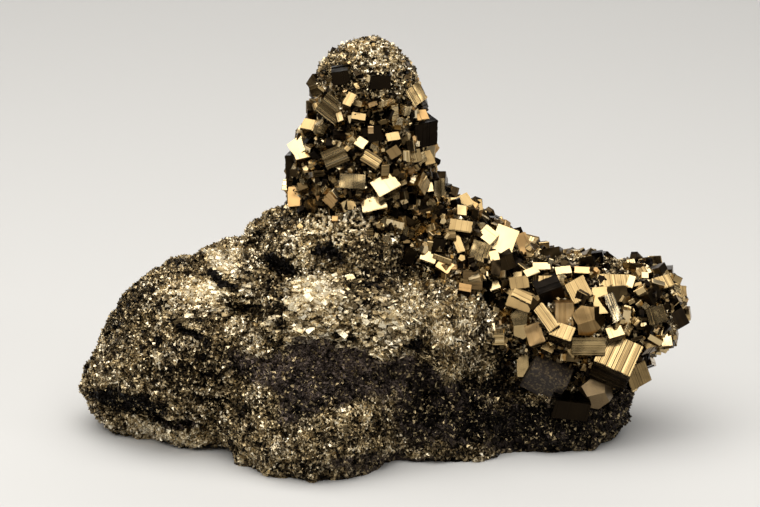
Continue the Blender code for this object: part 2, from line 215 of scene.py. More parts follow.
TOWER_CRYSTALS = (
    Crystal("left prism", (-20.3, -1, 67.5), (-0.2, -0.97, 0), 2, (5.3, 9.4, 8), -0.6, tone=0.08, lines=0),
    Crystal(
        "left prism's bright cap", (-22, -1, 74.3), (-0.35, -0.65, 0.7), 50, (4.2, 4.8, 6), 1.2, tone=0.72, lines=0,
    ),
    Crystal(
        "left upper block", (-18.3, -1.5, 79.2), (-0.1, -0.6, 0.8), -12, (5, 3.2, 5), tone=0.55, lines=0,
    ),
    Crystal("dark square", (-3.9, -7.3, 79.3), (0.1, -0.97, -0.2), 12, (4.6, 4, 5), tone=0.05, lines=0),
    Crystal(
        "striated block", (-13, -9.4, 74), (-0.2, -0.95, 0.2), 115, (4.4, 6, 5), tone=0.62, lines=2, hue=0.5,
    ),
    Crystal(
        "upper striated block", (-13.7, -5, 85), (-0.2, -0.95, 0.2), 55, (5.5, 6, 6), tone=0.55, lines=2, hue=0.5,
    ),
    Crystal(
        "light striated block", (-4.2, -9.3, 73), (0.1, -0.85, 0.5), 55, (3.2, 4.5, 4), tone=0.43, lines=2, hue=0.5,
    ),
    Crystal("white facet", (-0.8, -9.4, 66.8), (0.05, -0.75, 0.66), 30, (6, 4.4, 5), tone=0.72, lines=0),
    Crystal(
        "tan slab", (-8.8, -10.8, 68.2), (0, -0.9, 0.4), -3, (6.2, 3.4, 5), tone=0.68, lines=0.3, hue=0.5,
    ),
    Crystal("right dark cube", (10, -1, 78), (0.5, -0.85, -0.2), 5, (6.5, 6.5, 7), 3.6, tone=0.03, lines=0),
    Crystal(
        "right orange block", (11.8, -1, 81.5), (0.3, -0.6, 0.7), 0, (3.2, 2.8, 4), 2.2, tone=0.46, lines=0, hue=1,
    ),
    Crystal(
        "right olive block", (7.1, -0.8, 87.5), (0.4, -0.85, 0.3), 25, (4.2, 4.5, 4), tone=0.55, lines=0.7, hue=0.5,
    ),
    Crystal(
        "left low block", (-22.8, -2.2, 62), (-0.2, -0.8, 0.55), 8, (3, 5, 4), tone=0.46, lines=0, hue=1,
    ),
    Crystal("lower white facet", (-3.5, -10.5, 62), (0, -0.75, 0.66), 15, (6, 3.5, 4), tone=0.72, lines=0),
    Crystal("upper dark block", (-2, -6, 92), (0.1, -0.95, -0.2), 0, (5, 3.4, 4), tone=0.06, lines=0),
    Crystal(
        "upper left dark block", (-10.8, -4.1, 92.5), (0, -0.97, -0.2), 10, (4, 3.4, 4), tone=0.06, lines=0,
    ),
    Crystal("cream shard", (-9.4, -8, 87.4), (0, -0.75, 0.65), -25, (2, 3.6, 3), tone=0.55, lines=0.3),
    Crystal("cream wedge", (-7.3, -9, 83.6), (0.1, -0.72, 0.68), -12, (3.4, 1.9, 3), tone=0.54, lines=0),
    Crystal("white shard", (-6.1, -10, 77.6), (0, -0.75, 0.65), -35, (2.6, 2.4, 3), tone=0.72, lines=0),
    Crystal("cream block", (2, -8, 78.8), (0.1, -0.72, 0.68), 10, (3.2, 2.2, 3), tone=0.54, lines=0),
    Crystal("pale right block", (9.5, -1, 71.3), (0.3, -0.7, 0.6), 10, (2.8, 3.6, 3), tone=0.43, lines=0),
    Crystal("pink block", (1.6, -9, 74.9), (0.1, -0.8, 0.5), 30, (3, 2.6, 3), tone=0.28, lines=0, hue=1),
)

SADDLE_CRYSTALS = (
    Crystal(
        "grey prism", (12.7, 1, 63.2), (0.3, -0.9, 0.3), -5, (2.8, 5.2, 4), tone=0.62, lines=2, hue=0.5,
    ),
    Crystal("ridge block", (18.8, 3, 58.8), (0.2, -0.7, 0.7), 23, (3.5, 3.5, 4), tone=0.51, lines=0),
    Crystal("tan block", (17.9, -7.7, 55.7), (0, -0.7, 0.7), -10, (5.4, 3, 4), tone=0.48, lines=0.3),
    Crystal("white block", (24.7, -6.6, 52.8), (0.1, -0.7, 0.7), 45, (4, 4, 4), tone=0.72, lines=0),
    Crystal(
        "big pale block", (27.9, -3.5, 50.4), (0.1, -0.75, 0.65), -25, (5.5, 7.5, 6), 2.2, tone=0.72, lines=0,
    ),
    Crystal("rosy block", (33.2, 2, 48.2), (0.4, -0.8, 0.5), 10, (3.5, 5, 4), tone=0.46, lines=0, hue=1),
    Crystal(
        "grey-green block", (22.6, -9.8, 50.6), (0.1, -0.9, 0.4), -20, (4.6, 4.6, 4), tone=0.65, lines=0.6, hue=0.5,
    ),
    Crystal("white chip", (10, -10.5, 48.8), (0, -0.75, 0.65), -20, (3.8, 3.2, 4), tone=0.72, lines=0),
    Crystal(
        "second white chip", (13.7, -11.6, 46.6), (0.1, -0.72, 0.68), -40, (3.5, 3, 3.5), tone=0.72, lines=0,
    ),
    Crystal("dark block", (12.2, -10.4, 52), (0, -0.97, -0.2), -8, (3, 4, 4), tone=0.05, lines=0.5),
    Crystal("lower dark block", (28.4, -8, 46.5), (0.2, -0.95, -0.2), 20, (6, 4, 5), tone=0.12, lines=0),
    Crystal("slanting bar", (33.2, -11.8, 38.9), (0, -0.8, 0.6), 62, (2, 6, 4), tone=0.54, lines=0.6),
    Crystal("cream sliver", (17.5, -10, 51.8), (0.1, -0.75, 0.65), 15, (1.9, 4.4, 3), tone=0.51, lines=0),
    Crystal("white cube", (9.9, -2, 63.8), (0, -0.7, 0.7), 10, (2.4, 2.4, 3), tone=0.72, lines=0),
    Crystal("low white chip", (25.9, -9, 48.2), (0.1, -0.75, 0.65), 10, (2.2, 2.4, 3), tone=0.71, lines=0),
    Crystal("white strip", (26.2, -12, 44.4), (0, -0.7, 0.7), -8, (3.8, 1.8, 3), tone=0.72, lines=0),
    Crystal(
        "lowest white chip", (26.2, -13, 41.2), (0, -0.75, 0.65), 20, (2.6, 2.2, 3), tone=0.72, lines=0,
    ),
)

NAMED_CRYSTALS = RIGHT_LOBE_CRYSTALS + TOWER_CRYSTALS + SADDLE_CRYSTALS

# Regions of the skin that crystals or layers cover: name of the attribute, and its ellipsoids
REGIONS = {
    "crystal_cover": (
        Lobe("tower", (-6, 5, 72), (27, 27, 17)),
        Lobe("tower's foot", (2, 3, 60), (20, 20, 8)),
        Lobe("saddle", (20, 4, 52), (25, 25, 13), (0, 30, 0)),
        Lobe("right lobe", (53, 0, 33), (30, 31, 17)),
        Lobe("back ridge", (-30, 26, 34), (24, 15, 13)),
    ),
    "sugar_cover": (
        Lobe("tower", (-6, 5, 77), (28, 28, 26)),
        Lobe("tower's foot", (-2, 3, 58), (26, 22, 8)),
        Lobe("saddle", (20, 4, 51), (28, 27, 15), (0, 30, 0)),
        Lobe("right lobe", (53, 0, 32), (31, 32, 19)),
        Lobe("back ridge", (-30, 26, 34), (27, 17, 15)),
    ),
    "fibrous": (
        Lobe("silvery knob", (13.5, -24, 30), (14.5, 14, 11.5), (0, 12, 0)),
    ),
    "layered": (
        Lobe("middle ledge", (-14, -26, 38), (17, 14, 11.5)),
        Lobe("right of the middle", (-2, -26, 33), (8, 12, 7)),
        Lobe("bright ledge", (-40, -12, 43), (8, 14, 6)),
        Lobe("bright band", (-46, -16, 38), (11, 12, 4), (0, -9, 0)),
    ),
}


class Mark(NamedTuple):
    """A patch as it is seen from the front: its middle across and up, its half sides, its turn, its strength."""

    name: str
    middle: tuple
    reach: tuple
    turn: float = 0
    strength: float = 1
    side: int = 1


# Where the grain is painted brighter or darker as seen from the front: painted highlights on the ledges, bands and
# knobs, painted shade in the crevices, slots, hollows and the cave, and in a few places the grain's own tone
PAINTED_LIGHT_MARKS = (
    Mark("bright ledge", (-41, 42.8), (5, 5.5), 0, 1.0),
    Mark("bright band", (-46.5, 34.9), (10, 4), -9, 1.25),
    Mark("left crown", (-51, 41), (9, 4), 14, -0.2),
    Mark("left chip", (-34.7, 36.5), (1.3, 1.5), 0, 1.0),
    Mark("middle bright", (-16.5, 32.5), (9.5, 9.5), 0, 1.0),
    Mark("middle bright, upper", (-19, 37), (6, 5), 10, 0.25),
    Mark("middle right", (-1, 27), (6.5, 5.5), 0, 0.6),
    Mark("below the crevice", (-31.5, 25.7), (7, 3.4), 0, 0.25),
    Mark("rim", (-57, 0.5), (13, 3.2), -6, 1.0),
    Mark("left low glint", (-62.5, 17.7), (3, 3), 0, 0.3),
    Mark("foot's grain", (-28, 1.5), (7, 7), 0, 0.05),
    Mark("foot's left shoulder", (-43, 11.5), (4, 3), 0, 0.25),
    Mark("grainy knob", (15.5, 14.5), (4, 6), 0, 0.4),
    Mark("below the middle", (-2, 6), (6, 5), 0, 0.2),
    Mark("silvery knob", (13, 30.5), (14, 10), 0, 0.55),
    Mark("knob's edge", (5.5, 19.7), (2, 1.5), 20, 0.8),
    Mark("hump", (-12, 51), (14, 4), 0, 0.3),
    Mark("rings", (-15, 51.5), (9, 4), 0, 0.25),
    Mark("cap", (-5, 93), (11, 6), 0, 0.5),
    Mark("left edge", (-66, 31), (4, 9), -32, -0.5),
    Mark("left slot's depth", (-64.5, 7.6), (10.5, 3.4), -12, -2.9),
    Mark("crevice under the ledge", (-41, 37.9), (4.8, 1.3), -27, -3.2),
    Mark("hollow beside the hump", (-26.5, 42.3), (5.5, 1.7), -27, -2.2),
    Mark("band under the hollow", (-32, 31.5), (7, 2.4), 8, -0.5),
    Mark("diagonal crack", (-48.3, 26.3), (5.4, 0.8), -36, -3.4),
    Mark("left pit", (-56.3, 22.6), (1.5, 1.8), 0, -2.0),
    Mark("pit above the foot", (-45, 9.6), (4, 1.3), 5, -1.3),
    Mark("hump's crevice", (-14.5, 44.4), (4.6, 1.3), -8, -2.6),
    Mark("grey band by the hump", (-6, 38.5), (6.5, 2.6), 6, -0.7),
    Mark("beside the middle", (-25.7, 30.5), (1.3, 6), 0, -0.6),
    Mark("foot's spots", (-19, -5.5), (4, 2.6), 0, -0.5),
    Mark("left flank", (-50, 20), (12, 6), 0, -0.12),
    Mark("knob's shade", (3, 43), (6, 4), 0, -0.5),
    Mark("crevice beside the knob", (7, 22.5), (4, 1.4), 10, -1.8),
    Mark("shade beside the knob", (28, 20), (3, 6), 20, -1.2),
    Mark("cave", (27, 12.5), (8, 2.4), 0, -1.3),
    Mark("matrix's lighter top", (-16, 20.5), (20, 4.5), -3, 0.6),
    Mark("low flank", (14, 6), (14, 9), 0, -0.5),
    Mark("right base", (41, 2.5), (27, 8.5), 3, -0.8),
    Mark("back band", (-20, 20), (40, 9), 6, -0.4, -1),
    Mark("back crown", (-44, 34), (14, 6), 12, 0.4, -1),
    Mark("back foot", (30, 14), (24, 10), -4, 0.2, -1),
)

# Where the black sugary matrix shows
MATRIX = (
    Mark("left end", (-33, 17), (10, 4.5), -14, 0.75),
    Mark("band", (-14, 16), (21, 8.6), -3),
    Mark("tail", (-22, 9.5), (8, 6), 30),
    Mark("under the knob", (3, 15), (12, 6), -10),
    Mark("low flank", (13, 6), (14, 9), 0, 0.85),
    Mark("right base", (41, 2.5), (27, 8.5), 3, 0.9),
    Mark("right base's end", (58, 10), (8, 8), 30, 0.9),
    Mark("left slot", (-63, 7), (11, 3.2), -9),
    Mark("underside", (0, -6), (22, 3), 0, 0.6),
    Mark("back hollow", (12, 22), (20, 9), 10, 0.9, -1),
    Mark("back slot", (-46, 9), (16, 4), -6, 0.9, -1),
    Mark("back base", (46, 4), (16, 6), 0, 0.8, -1),
)

# Middles and radii of the ringed spots below the tower
RINGS = (((-17, 52.8), 3.6), ((-7.5, 53), 3.8), ((-24, 45.6), 3.0), (((-12, 48.2)), 2.6))
RING_SPACING = 1.5
EDGE_SEED = 5
VIEW_RISE = math.radians(16)
# How dark the downward sides of a large crystal are painted, as painted shade
UNDERSIDE_PAINTED_SHADE = 0.5


class SpecimenSizes(bpy.types.PropertyGroup):
    """Sizes of the crystals and of the grain."""

    relief: FloatProperty(
        name="Relief", description="Height of the fine relief of the body", default=0.001, unit="LENGTH"
    )
    grain: FloatProperty(
        name="Grain", description="Side of the finest crystals", default=0.0005, unit="LENGTH"
    )
    small_crystal: FloatProperty(
        name="Small crystal", description="Largest side of a small crystal", default=0.0033, unit="LENGTH"
    )
    step: FloatProperty(
        name="Striation step", description="Height of the growth steps of a large crystal", default=0.00016,
        unit="LENGTH",
    )
    stripe: FloatProperty(
        name="Striation width", description="Width of a growth step", default=0.0006, unit="LENGTH"
    )
    seed: IntProperty(name="Seed", description="Chance that places the crystals", default=7)


class SpecimenColours(bpy.types.PropertyGroup):
    """Colours of the specimen's minerals."""

    pale: FloatVectorProperty(
        name="Pale facet", description="Palest crystals", default=(0.92, 0.82, 0.60), subtype="COLOR"
    )
    brass: FloatVectorProperty(
        name="Brass", description="Most crystals", default=(0.60, 0.47, 0.26), subtype="COLOR"
    )
    olive: FloatVectorProperty(
        name="Olive brown", description="Duller crystals", default=(0.25, 0.185, 0.095), subtype="COLOR"
    )
    bronze: FloatVectorProperty(
        name="Dark bronze", description="Dark crystals", default=(0.055, 0.038, 0.019), subtype="COLOR"
    )
    # Pitch also paints the shade where the matrix's crevices and hollows are darkest
    pitch: FloatVectorProperty(
        name="Pitch", description="Darkest facets and gaps", default=(0.007, 0.0055, 0.0045), subtype="COLOR"
    )
    tarnish: FloatVectorProperty(
        name="Tarnish", description="Orange tarnish on a few crystals", default=(0.62, 0.36, 0.14),
        subtype="COLOR",
    )
    # Silver also goes on the brightest grain, partly as a painted sheen
    silver: FloatVectorProperty(
        name="Silver", description="Silvery fibres and worn grain", default=(0.86, 0.80, 0.66), subtype="COLOR"
    )
    matrix: FloatVectorProperty(
        name="Matrix", description="Black sugary matrix", default=(0.105, 0.080, 0.067), subtype="COLOR"
    )
    floor: FloatVectorProperty(
        name="Floor", description="Plain floor", default=(0.58, 0.58, 0.575), subtype="COLOR"
    )


def sizes():
    """The sizes that the panel shows."""
    return bpy.context.scene.specimen_sizes


def colours():
    """The colours that the panel shows."""
    return bpy.context.scene.specimen_colours


# Node trees


class Socket:
    """A node's output, on which Python's operators add Math nodes."""

    def __init__(self, tree, link):
        self.tree, self.link = tree, link

    def maths(self, operation, *values):
        return self.tree.node("ShaderNodeMath", {"operation": operation}, dict(enumerate(values)))

    def __add__(self, other):
        return self.maths("ADD", self, other)

    def __radd__(self, other):
        return self.maths("ADD", other, self)

    def __sub__(self, other):
        return self.maths("SUBTRACT", self, other)

    def __rsub__(self, other):
        return self.maths("SUBTRACT", other, self)

    def __mul__(self, other):
        return self.maths("MULTIPLY", self, other)

    def __rmul__(self, other):
        return self.maths("MULTIPLY", other, self)

    def __truediv__(self, other):
        return self.maths("DIVIDE", self, other)

    def __rtruediv__(self, other):
        return self.maths("DIVIDE", other, self)

    def __pow__(self, other):
        return self.maths("POWER", self, other)

    def __gt__(self, other):
        return self.maths("GREATER_THAN", self, other)

    def __lt__(self, other):
        return self.maths("LESS_THAN", self, other)

    def whole(self):
        return self.maths("FLOOR", self)

    def size(self):
        return self.maths("ABSOLUTE", self)

    def rise(self, low, high):
        """0 below low and 1 above high, smooth between them."""
        limits = {"From Min": low, "From Max": high}
        settings = {"interpolation_type": "SMOOTHSTEP"}
        return self.tree.node("ShaderNodeMapRange", settings, {"Value": self, **limits})


class Tree:
    """A shader's or a modifier's node tree, to which one method adds any node."""

    def __init__(self, tree):
        self.tree = tree

    def node(self, kind, settings=None, values=None, out=0):
        """Adds a node, sets it up, links or sets its inputs, and returns one of its outputs."""
        made = self.tree.nodes.new(kind)
        for name, value in (settings or {}).items():
            if name == "stops":
                self.set_stops(made.color_ramp, value)
            else:
                setattr(made, name, value)
        for name, value in (values or {}).items():
            socket = self.find(made.inputs, name)
            if isinstance(value, Socket):
                self.tree.links.new(value.link, socket)
            else:
                socket.default_value = value
        return Socket(self, self.find(made.outputs, out)) if made.outputs else made

    @staticmethod
    def find(sockets, name):
        """A socket by its place, its identifier or its name."""
        if isinstance(name, int):
            return sockets[name]
        return next(s for s in sockets if name == s.identifier or (name == s.name and s.enabled))

    @staticmethod
    def set_stops(ramp, stops):
        """Sets a colour ramp's places and colours."""
        while len(ramp.elements) < len(stops):
            ramp.elements.new(1.0)
        for element, (place, colour) in zip(ramp.elements, stops):
            element.position = place
            element.color = (*colour, 1)

    def sibling(self, socket, name):
        """Another output of the node that a socket belongs to."""
        return Socket(self, self.find(socket.link.node.outputs, name))

    def mix(self, share, first, second):
        """One colour, or a mix of two by their share."""
        values = {"Factor_Float": share}
        for name, colour in (("A_Color", first), ("B_Color", second)):
            values[name] = colour if isinstance(colour, Socket) else (*colour, 1)
        return self.node("ShaderNodeMix", {"data_type": "RGBA"}, values, "Result_Color")

    def vector(self, operation, *values, out=0):
        """A Vector Math node."""
        return self.node("ShaderNodeVectorMath", {"operation": operation}, dict(enumerate(values)), out)

    def attribute(self, name):
        """A number that the mesh carries, in a shader."""
        return self.node("ShaderNodeAttribute", {"attribute_name": name}, {}, "Fac")


# Materials


def new_material(name):
    """A material, its tree, and its shader node with nothing linked."""
    material = bpy.data.materials.new(name)
    material.use_nodes = True
    shader = material.node_tree.nodes["Principled BSDF"]
    return material, Tree(material.node_tree), shader


def plug(tree, shader, **inputs):
    """Links sockets, or sets numbers, on the shader: Base_Color stands for Base Color."""
    for name, value in inputs.items():
        socket = shader.inputs[name.replace("_", " ")]
        if isinstance(value, Socket):
            tree.tree.links.new(value.link, socket)
        else:
            socket.default_value = value


def cells_of(tree, place, scale):
    """A random colour for each small cell of the surface."""
    return tree.node("ShaderNodeTexVoronoi", {"feature": "F1"}, {"Vector": place, "Scale": scale}, "Color")


def tilted_normal(tree, cells, strength):
    """The surface's normal, tilted at random from cell to cell, as on a face of many small facets."""
    normal = tree.node("ShaderNodeNewGeometry", out="Normal")
    tilt = tree.vector("MULTIPLY", tree.vector("SUBTRACT", cells, (0.5, 0.5, 0.5)), (strength,) * 3)
    return tree.vector("NORMALIZE", tree.vector("ADD", normal, tilt))


def metal_ramp(tree, level):
    """The colour of pyrite from its darkest facets, at 0, to its palest, at 1."""
    tint = colours()
    stops = [(0.0, tint.pitch), (0.22, tint.bronze), (0.45, tint.olive), (0.7, tint.brass), (1.0, tint.pale)]
    return tree.node("ShaderNodeValToRGB", {"stops": stops}, {"Fac": level}, "Color")


def grain_material(name, facet_scale, tilt, chance_from, base=0.41):
    """Fine metallic grain, made brighter or darker by patches as painted light and shade besides its own tone, paler
    and silvery where brightest, partly as a painted sheen, and black sugary matrix with a few sparks, painted darker in
    the crevices as painted shade.
    """
    material, tree, shader = new_material(name)
    place = tree.node("ShaderNodeTexCoord", out="Object")
    cells = cells_of(tree, place, facet_scale)
    cell = tree.node("ShaderNodeSeparateColor", {}, {"Color": cells}, "Red")
    chance = tree.attribute(chance_from) if chance_from else cell
    glow, matrix = tree.attribute("glow"), tree.attribute("matrix")
    layered = tree.vector("MULTIPLY", place, (1.0, 1.0, 3.2))
    streaks = tree.node("ShaderNodeTexNoise", {}, {"Vector": layered, "Scale": 420.0, "Detail": 2.0}, "Fac")
    # Painted light and shade: the marks raise and lower the grain's level, besides its tone at random
    level = base + glow * 0.42 + (chance - 0.45) * 0.8 + (streaks - 0.5) * 0.7
    bright = metal_ramp(tree, level)
    patches = tree.node("ShaderNodeTexNoise", {}, {"Vector": place, "Scale": 160.0, "Detail": 1.0}, "Fac")
    # Silver on the brightest grain in patches: partly wear, partly a painted sheen on the painted highlights
    wear_and_painted_sheen = (level.rise(0.3, 1.0) * patches.rise(0.45, 0.7) * 0.6)
    metal = tree.mix(wear_and_painted_sheen, bright, colours().silver)
    sparks = (chance - matrix * 0.14).rise(0.72, 0.88)
    # Painted shade: the matrix turns towards pitch where the marks darken it, in crevices and hollows
    matrix_with_painted_shade = tree.mix(glow.rise(-1.0, 0.8), colours().pitch, colours().matrix)
    black = tree.mix(sparks * 0.75, matrix_with_painted_shade, colours().brass)
    colour = tree.mix(matrix.rise(0.25, 0.75), metal, black)
    rough = 0.28 + 0.2 * cell + matrix * 0.12 + glow.rise(0.5, 1.4) * 0.2
    plug(
        tree, shader, Base_Color=colour, Metallic=0.95, Roughness=rough,
        Normal=tilted_normal(tree, cells, tilt),
    )
    return material


def stripes(tree, track, count):
    """Growth lines of uneven width along a track: a random height for each, and the gaps between them."""
    values = {"W": track, "Scale": count}
    heights = tree.node("ShaderNodeTexVoronoi", {"voronoi_dimensions": "1D"}, values, "Color")
    height = tree.node("ShaderNodeSeparateColor", {}, {"Color": heights}, "Red")
    settings = {"voronoi_dimensions": "1D", "feature": "DISTANCE_TO_EDGE"}
    gap = 1.0 - tree.node("ShaderNodeTexVoronoi", settings, values, "Distance").rise(0.02, 0.09)
    return height, gap


def crystal_material(name, wave_height, carries_lines):
    """Flat metallic faces with growth lines across them, gently uneven, and sooty where they are told to be.

    Where the mesh doesn't carry how strongly a crystal is lined, the hue stands in for it.
    """
    tint = colours()
    material, tree, shader = new_material(name)
    place = tree.node("ShaderNodeTexCoord", out="Object")
    tone, hue = tree.attribute("tone"), tree.attribute("hue")
    across, soot = tree.attribute("striae"), tree.attribute("soot")
    track = across + hue * 137.0 + tone * 23.0
    lined = tree.attribute("lines") if carries_lines else (hue * 7.0 - (hue * 7.0).whole()).rise(0.3, 0.7)
    wide, wide_gap = stripes(tree, track, 0.7)
    narrow, narrow_gap = stripes(tree, track, 2.2)
    grooves = (wide_gap + narrow_gap * 0.6) * lined
    steps = (wide * 0.4 + narrow * 0.6 - 0.5) * lined
    cloud = tree.node("ShaderNodeTexNoise", {}, {"Vector": place, "Scale": 230.0, "Detail": 1.0}, "Fac")
    own_tone = tone if carries_lines else tone.rise(0.08, 0.92) * 0.78
    # Painted light and shade: the small crystals take the body's painted light and shade into their level
    level = (own_tone + steps * 0.26) * (1.0 - grooves * 0.5) + (cloud - 0.5) * 0.12 + tree.attribute("glow") * 0.12
    level = level * own_tone.rise(-0.05, 0.2)
    # Painted highlight: the palest levels are whitened
    painted_highlight_cast = tree.mix(level.rise(0.55, 0.9), (1.0, 0.93, 0.80), (1.0, 0.98, 0.96))
    warm = tree.vector("MULTIPLY", metal_ramp(tree, level), painted_highlight_cast)
    tarnished = tree.mix((hue > 0.95) * tone.rise(0.3, 0.5) * 0.55, warm, tint.tarnish)
    cells = cells_of(tree, place, 2300.0)
    cell = tree.node("ShaderNodeSeparateColor", {}, {"Color": cells}, "Red")
    sooty = tree.mix(cell.rise(0.55, 1.0) * 0.6, tree.mix(0.68 - tone * 2.0, tint.matrix, tint.pitch), tint.olive)
    colour = tree.mix(soot, tarnished, sooty)
    rough = 0.16 + hue * 0.16 + soot * 0.3
    waves = tree.node(
        "ShaderNodeBump", {}, {"Strength": 1.0, "Distance": wave_height, "Height": cloud},
    )
    ridges = tree.node(
        "ShaderNodeBump", {},
        {"Strength": 1.0, "Distance": 0.00002, "Height": steps - grooves + cell * soot * 4.0, "Normal": waves},
    )
    plug(tree, shader, Base_Color=colour, Metallic=1.0 - soot * 0.6, Roughness=rough, Normal=ridges)
    return material


def floor_material():
    """Plain pale matt floor."""
    material, tree, shader = new_material("plain_floor")
    plug(tree, shader, Base_Color=(*colours().floor, 1), Roughness=0.85)
    return material


# Meshes


def turned(centre, turn, radii=(1, 1, 1)):
    """The matrix that scales by radii, turns by degrees and moves to centre."""
    angles = Euler([math.radians(angle) for angle in turn])
    return Matrix.LocRotScale(Vector(centre), angles, Vector(radii))


def new_object(name, shape):
    """A scene object that holds what the bmesh holds."""
    mesh = bpy.data.meshes.new(name)
    shape.to_mesh(mesh)
    shape.free()
    obj = bpy.data.objects.new(name, mesh)
    bpy.context.scene.collection.objects.link(obj)
    return obj


def drop(obj):
    """Removes an object that has done its work."""
    bpy.data.objects.remove(obj)


def ellipsoids(name, lobes):
    """One object that holds every ellipsoid of the list, not yet fused."""
    shape = bmesh.new()
    for lobe in lobes:
        matrix = turned(lobe.centre, lobe.turn, lobe.radii)
        bmesh.ops.create_icosphere(shape, subdivisions=4, radius=1, matrix=matrix)
    return new_object(name, shape)


def apply_modifiers(obj):
    """Replaces the object's mesh by what its modifiers make of it."""
    graph = bpy.context.evaluated_depsgraph_get()
    mesh = bpy.data.meshes.new_from_object(obj.evaluated_get(graph))
    obj.modifiers.clear()
    obj.data = mesh


def fuse(obj, grain=VOXEL):
    """Makes what overlaps in the object one closed skin."""
    remesh = obj.modifiers.new("Fuse", "REMESH")
    remesh.mode = "VOXEL"
    remesh.voxel_size = grain
    apply_modifiers(obj)


def cut_away(obj, other):
    """Cuts the other object out of this one."""
    boolean = obj.modifiers.new("Cut", "BOOLEAN")
    boolean.operation = "DIFFERENCE"
    boolean.solver = "EXACT"
    boolean.use_self = True
    boolean.object = other
    apply_modifiers(obj)
    drop(other)


def swell(point):
    """How far the surface stands proud of the lobes at a point."""
    broad = noise.noise(point / BROAD_REACH + Vector((3.1, 7.7, 1.3)))
    lumps = noise.noise(point / LUMP_REACH + Vector((9.2, 4.4, 6.1)))
    return BROAD_SWELL * broad + LUMP_SWELL * (1 - 2.4 * abs(lumps)) * 0.5


def lumpy_skin():
    """The lobes as one lumpy skin, with the hollows cut in and the joints softened."""
    skin = ellipsoids(BODY, LOBES)
    fuse(skin)
    cut_away(skin, ellipsoids("hollows", HOLLOWS))
    fuse(skin)
    soften = skin.modifiers.new("Soften", "SMOOTH")
    soften.factor = 0.5
    soften.iterations = SOFTENING_ROUNDS
    apply_modifiers(skin)
    normals = [vertex.normal.copy() for vertex in skin.data.vertices]
    for vertex, normal in zip(skin.data.vertices, normals):
        vertex.co += normal * swell(vertex.co)
    return skin


def covers(region, point):
    """How deep a point is in a region: 0 at its edge and outside, 1 at its middle."""
    inside = turned(region.centre, region.turn, region.radii).inverted() @ point
    return max(0.0, 1 - inside.length)


def scattered_crystals(skin, placed):
    """More crystals, wherever a patch of the skin still has room for one."""
    chance = random.Random(SCATTER_SEED)
    vertices = skin.data.vertices
    order = list(range(len(vertices)))
    chance.shuffle(order)
    taken = [(Vector(crystal.seat), max(crystal.sides[:2])) for crystal in placed]
    found = []
    for index in order:
        point = vertices[index].co
        deep, patch = max((covers(patch.region, point), patch) for patch in PATCHES)
        if deep == 0 or point.z < LOWEST_CRYSTAL:
            continue
        size = patch.smallest + (patch.largest - patch.smallest) * chance.random() ** 2
        if any((point - other).length < CROWDING * (size + width) for other, width in taken):
            continue
        outward = vertices[index].normal
        looks = (outward + Vector([chance.gauss(0, 0.5) for _ in range(3)])).normalized()
        sides = [size * chance.uniform(0.75, 1.2) for _ in range(3)]
        found.append(Crystal("scattered", point, looks, chance.uniform(0, 90), sides, size * 0.3))
        taken.append((point, size))
    return found


def seated(crystal, skin_tree):
    """The matrix that puts a crystal on the skin, with its sides still to be given."""
    seat, outward, *_ = skin_tree.find_nearest(Vector(crystal.seat))
    looks = Vector(crystal.looks).normalized()
    turn = looks.to_track_quat("Z", "Y") @ Quaternion((0, 0, 1), math.radians(crystal.spin))
    middle = seat + crystal.proud * outward.lerp(looks, 0.5) - looks * crystal.sides[2] / 2
    return Matrix.LocRotScale(middle, turn, None)


def to_frame(obj):
    """Takes a mesh from millimetres in the lobes' numbers to metres in the frame."""
    obj.data.transform(Matrix.Scale(MM, 4) @ Matrix.Translation(-MIDDLE))


def points_of(mesh):
    """The mesh's vertices as rows of numbers, in the lobes' millimetres, and their normals."""
    places = np.empty(len(mesh.vertices) * 3, np.float32)
    normals = np.empty(len(mesh.vertices) * 3, np.float32)
    mesh.vertices.foreach_get("co", places)
    mesh.vertices.foreach_get("normal", normals)
    return places.reshape(-1, 3) / MM + np.array(MIDDLE), normals.reshape(-1, 3)


def store(mesh, name, values):
    """Gives each vertex of the mesh a number under a name."""
    attribute = mesh.attributes.get(name) or mesh.attributes.new(name, "FLOAT", "POINT")
    attribute.data.foreach_set("value", np.asarray(values, np.float32))


def smooth_step(values, low, high):
    """0 below low and 1 above high, smooth between them."""
    share = np.clip((values - low) / (high - low), 0, 1)
    return share * share * (3 - 2 * share)


def region_cover(points, lobes):
    """For each point, 1 well inside one of the ellipsoids and 0 outside them all."""
    cover = np.zeros(len(points))
    for lobe in lobes:
        inverse = np.array(turned(lobe.centre, lobe.turn, lobe.radii).inverted())
        local = points @ inverse[:3, :3].T + inverse[:3, 3]
        cover = np.maximum(cover, 1 - smooth_step(np.linalg.norm(local, axis=1), 0.9, 1.1))
    return cover


def seen_from(middle, points, normals, side=1, reach=(1, 1), turn=0):
    """Each point's distance from a middle, as seen from the front or the back, and whether it faces that way."""
    sight = np.array((0, -math.cos(VIEW_RISE) * side, math.sin(VIEW_RISE)))
    upright = np.array((0, math.sin(VIEW_RISE) * side, math.cos(VIEW_RISE)))
    across = points[:, 0] - middle[0]
    rise = points @ upright - middle[1]
    turn = math.radians(turn)
    along = across * math.cos(turn) + rise * math.sin(turn)
    beside = rise * math.cos(turn) - across * math.sin(turn)
    return np.hypot(along / reach[0], beside / reach[1]), smooth_step(normals @ sight, -0.55, -0.25)


def mark_cover(mark, points, normals):
    """For each point, how much of the mark it shows."""
    away, facing = seen_from(mark.middle, points, normals, mark.side, mark.reach, mark.turn)
    return (1 - smooth_step(away, 0.45, 1.25)) * facing


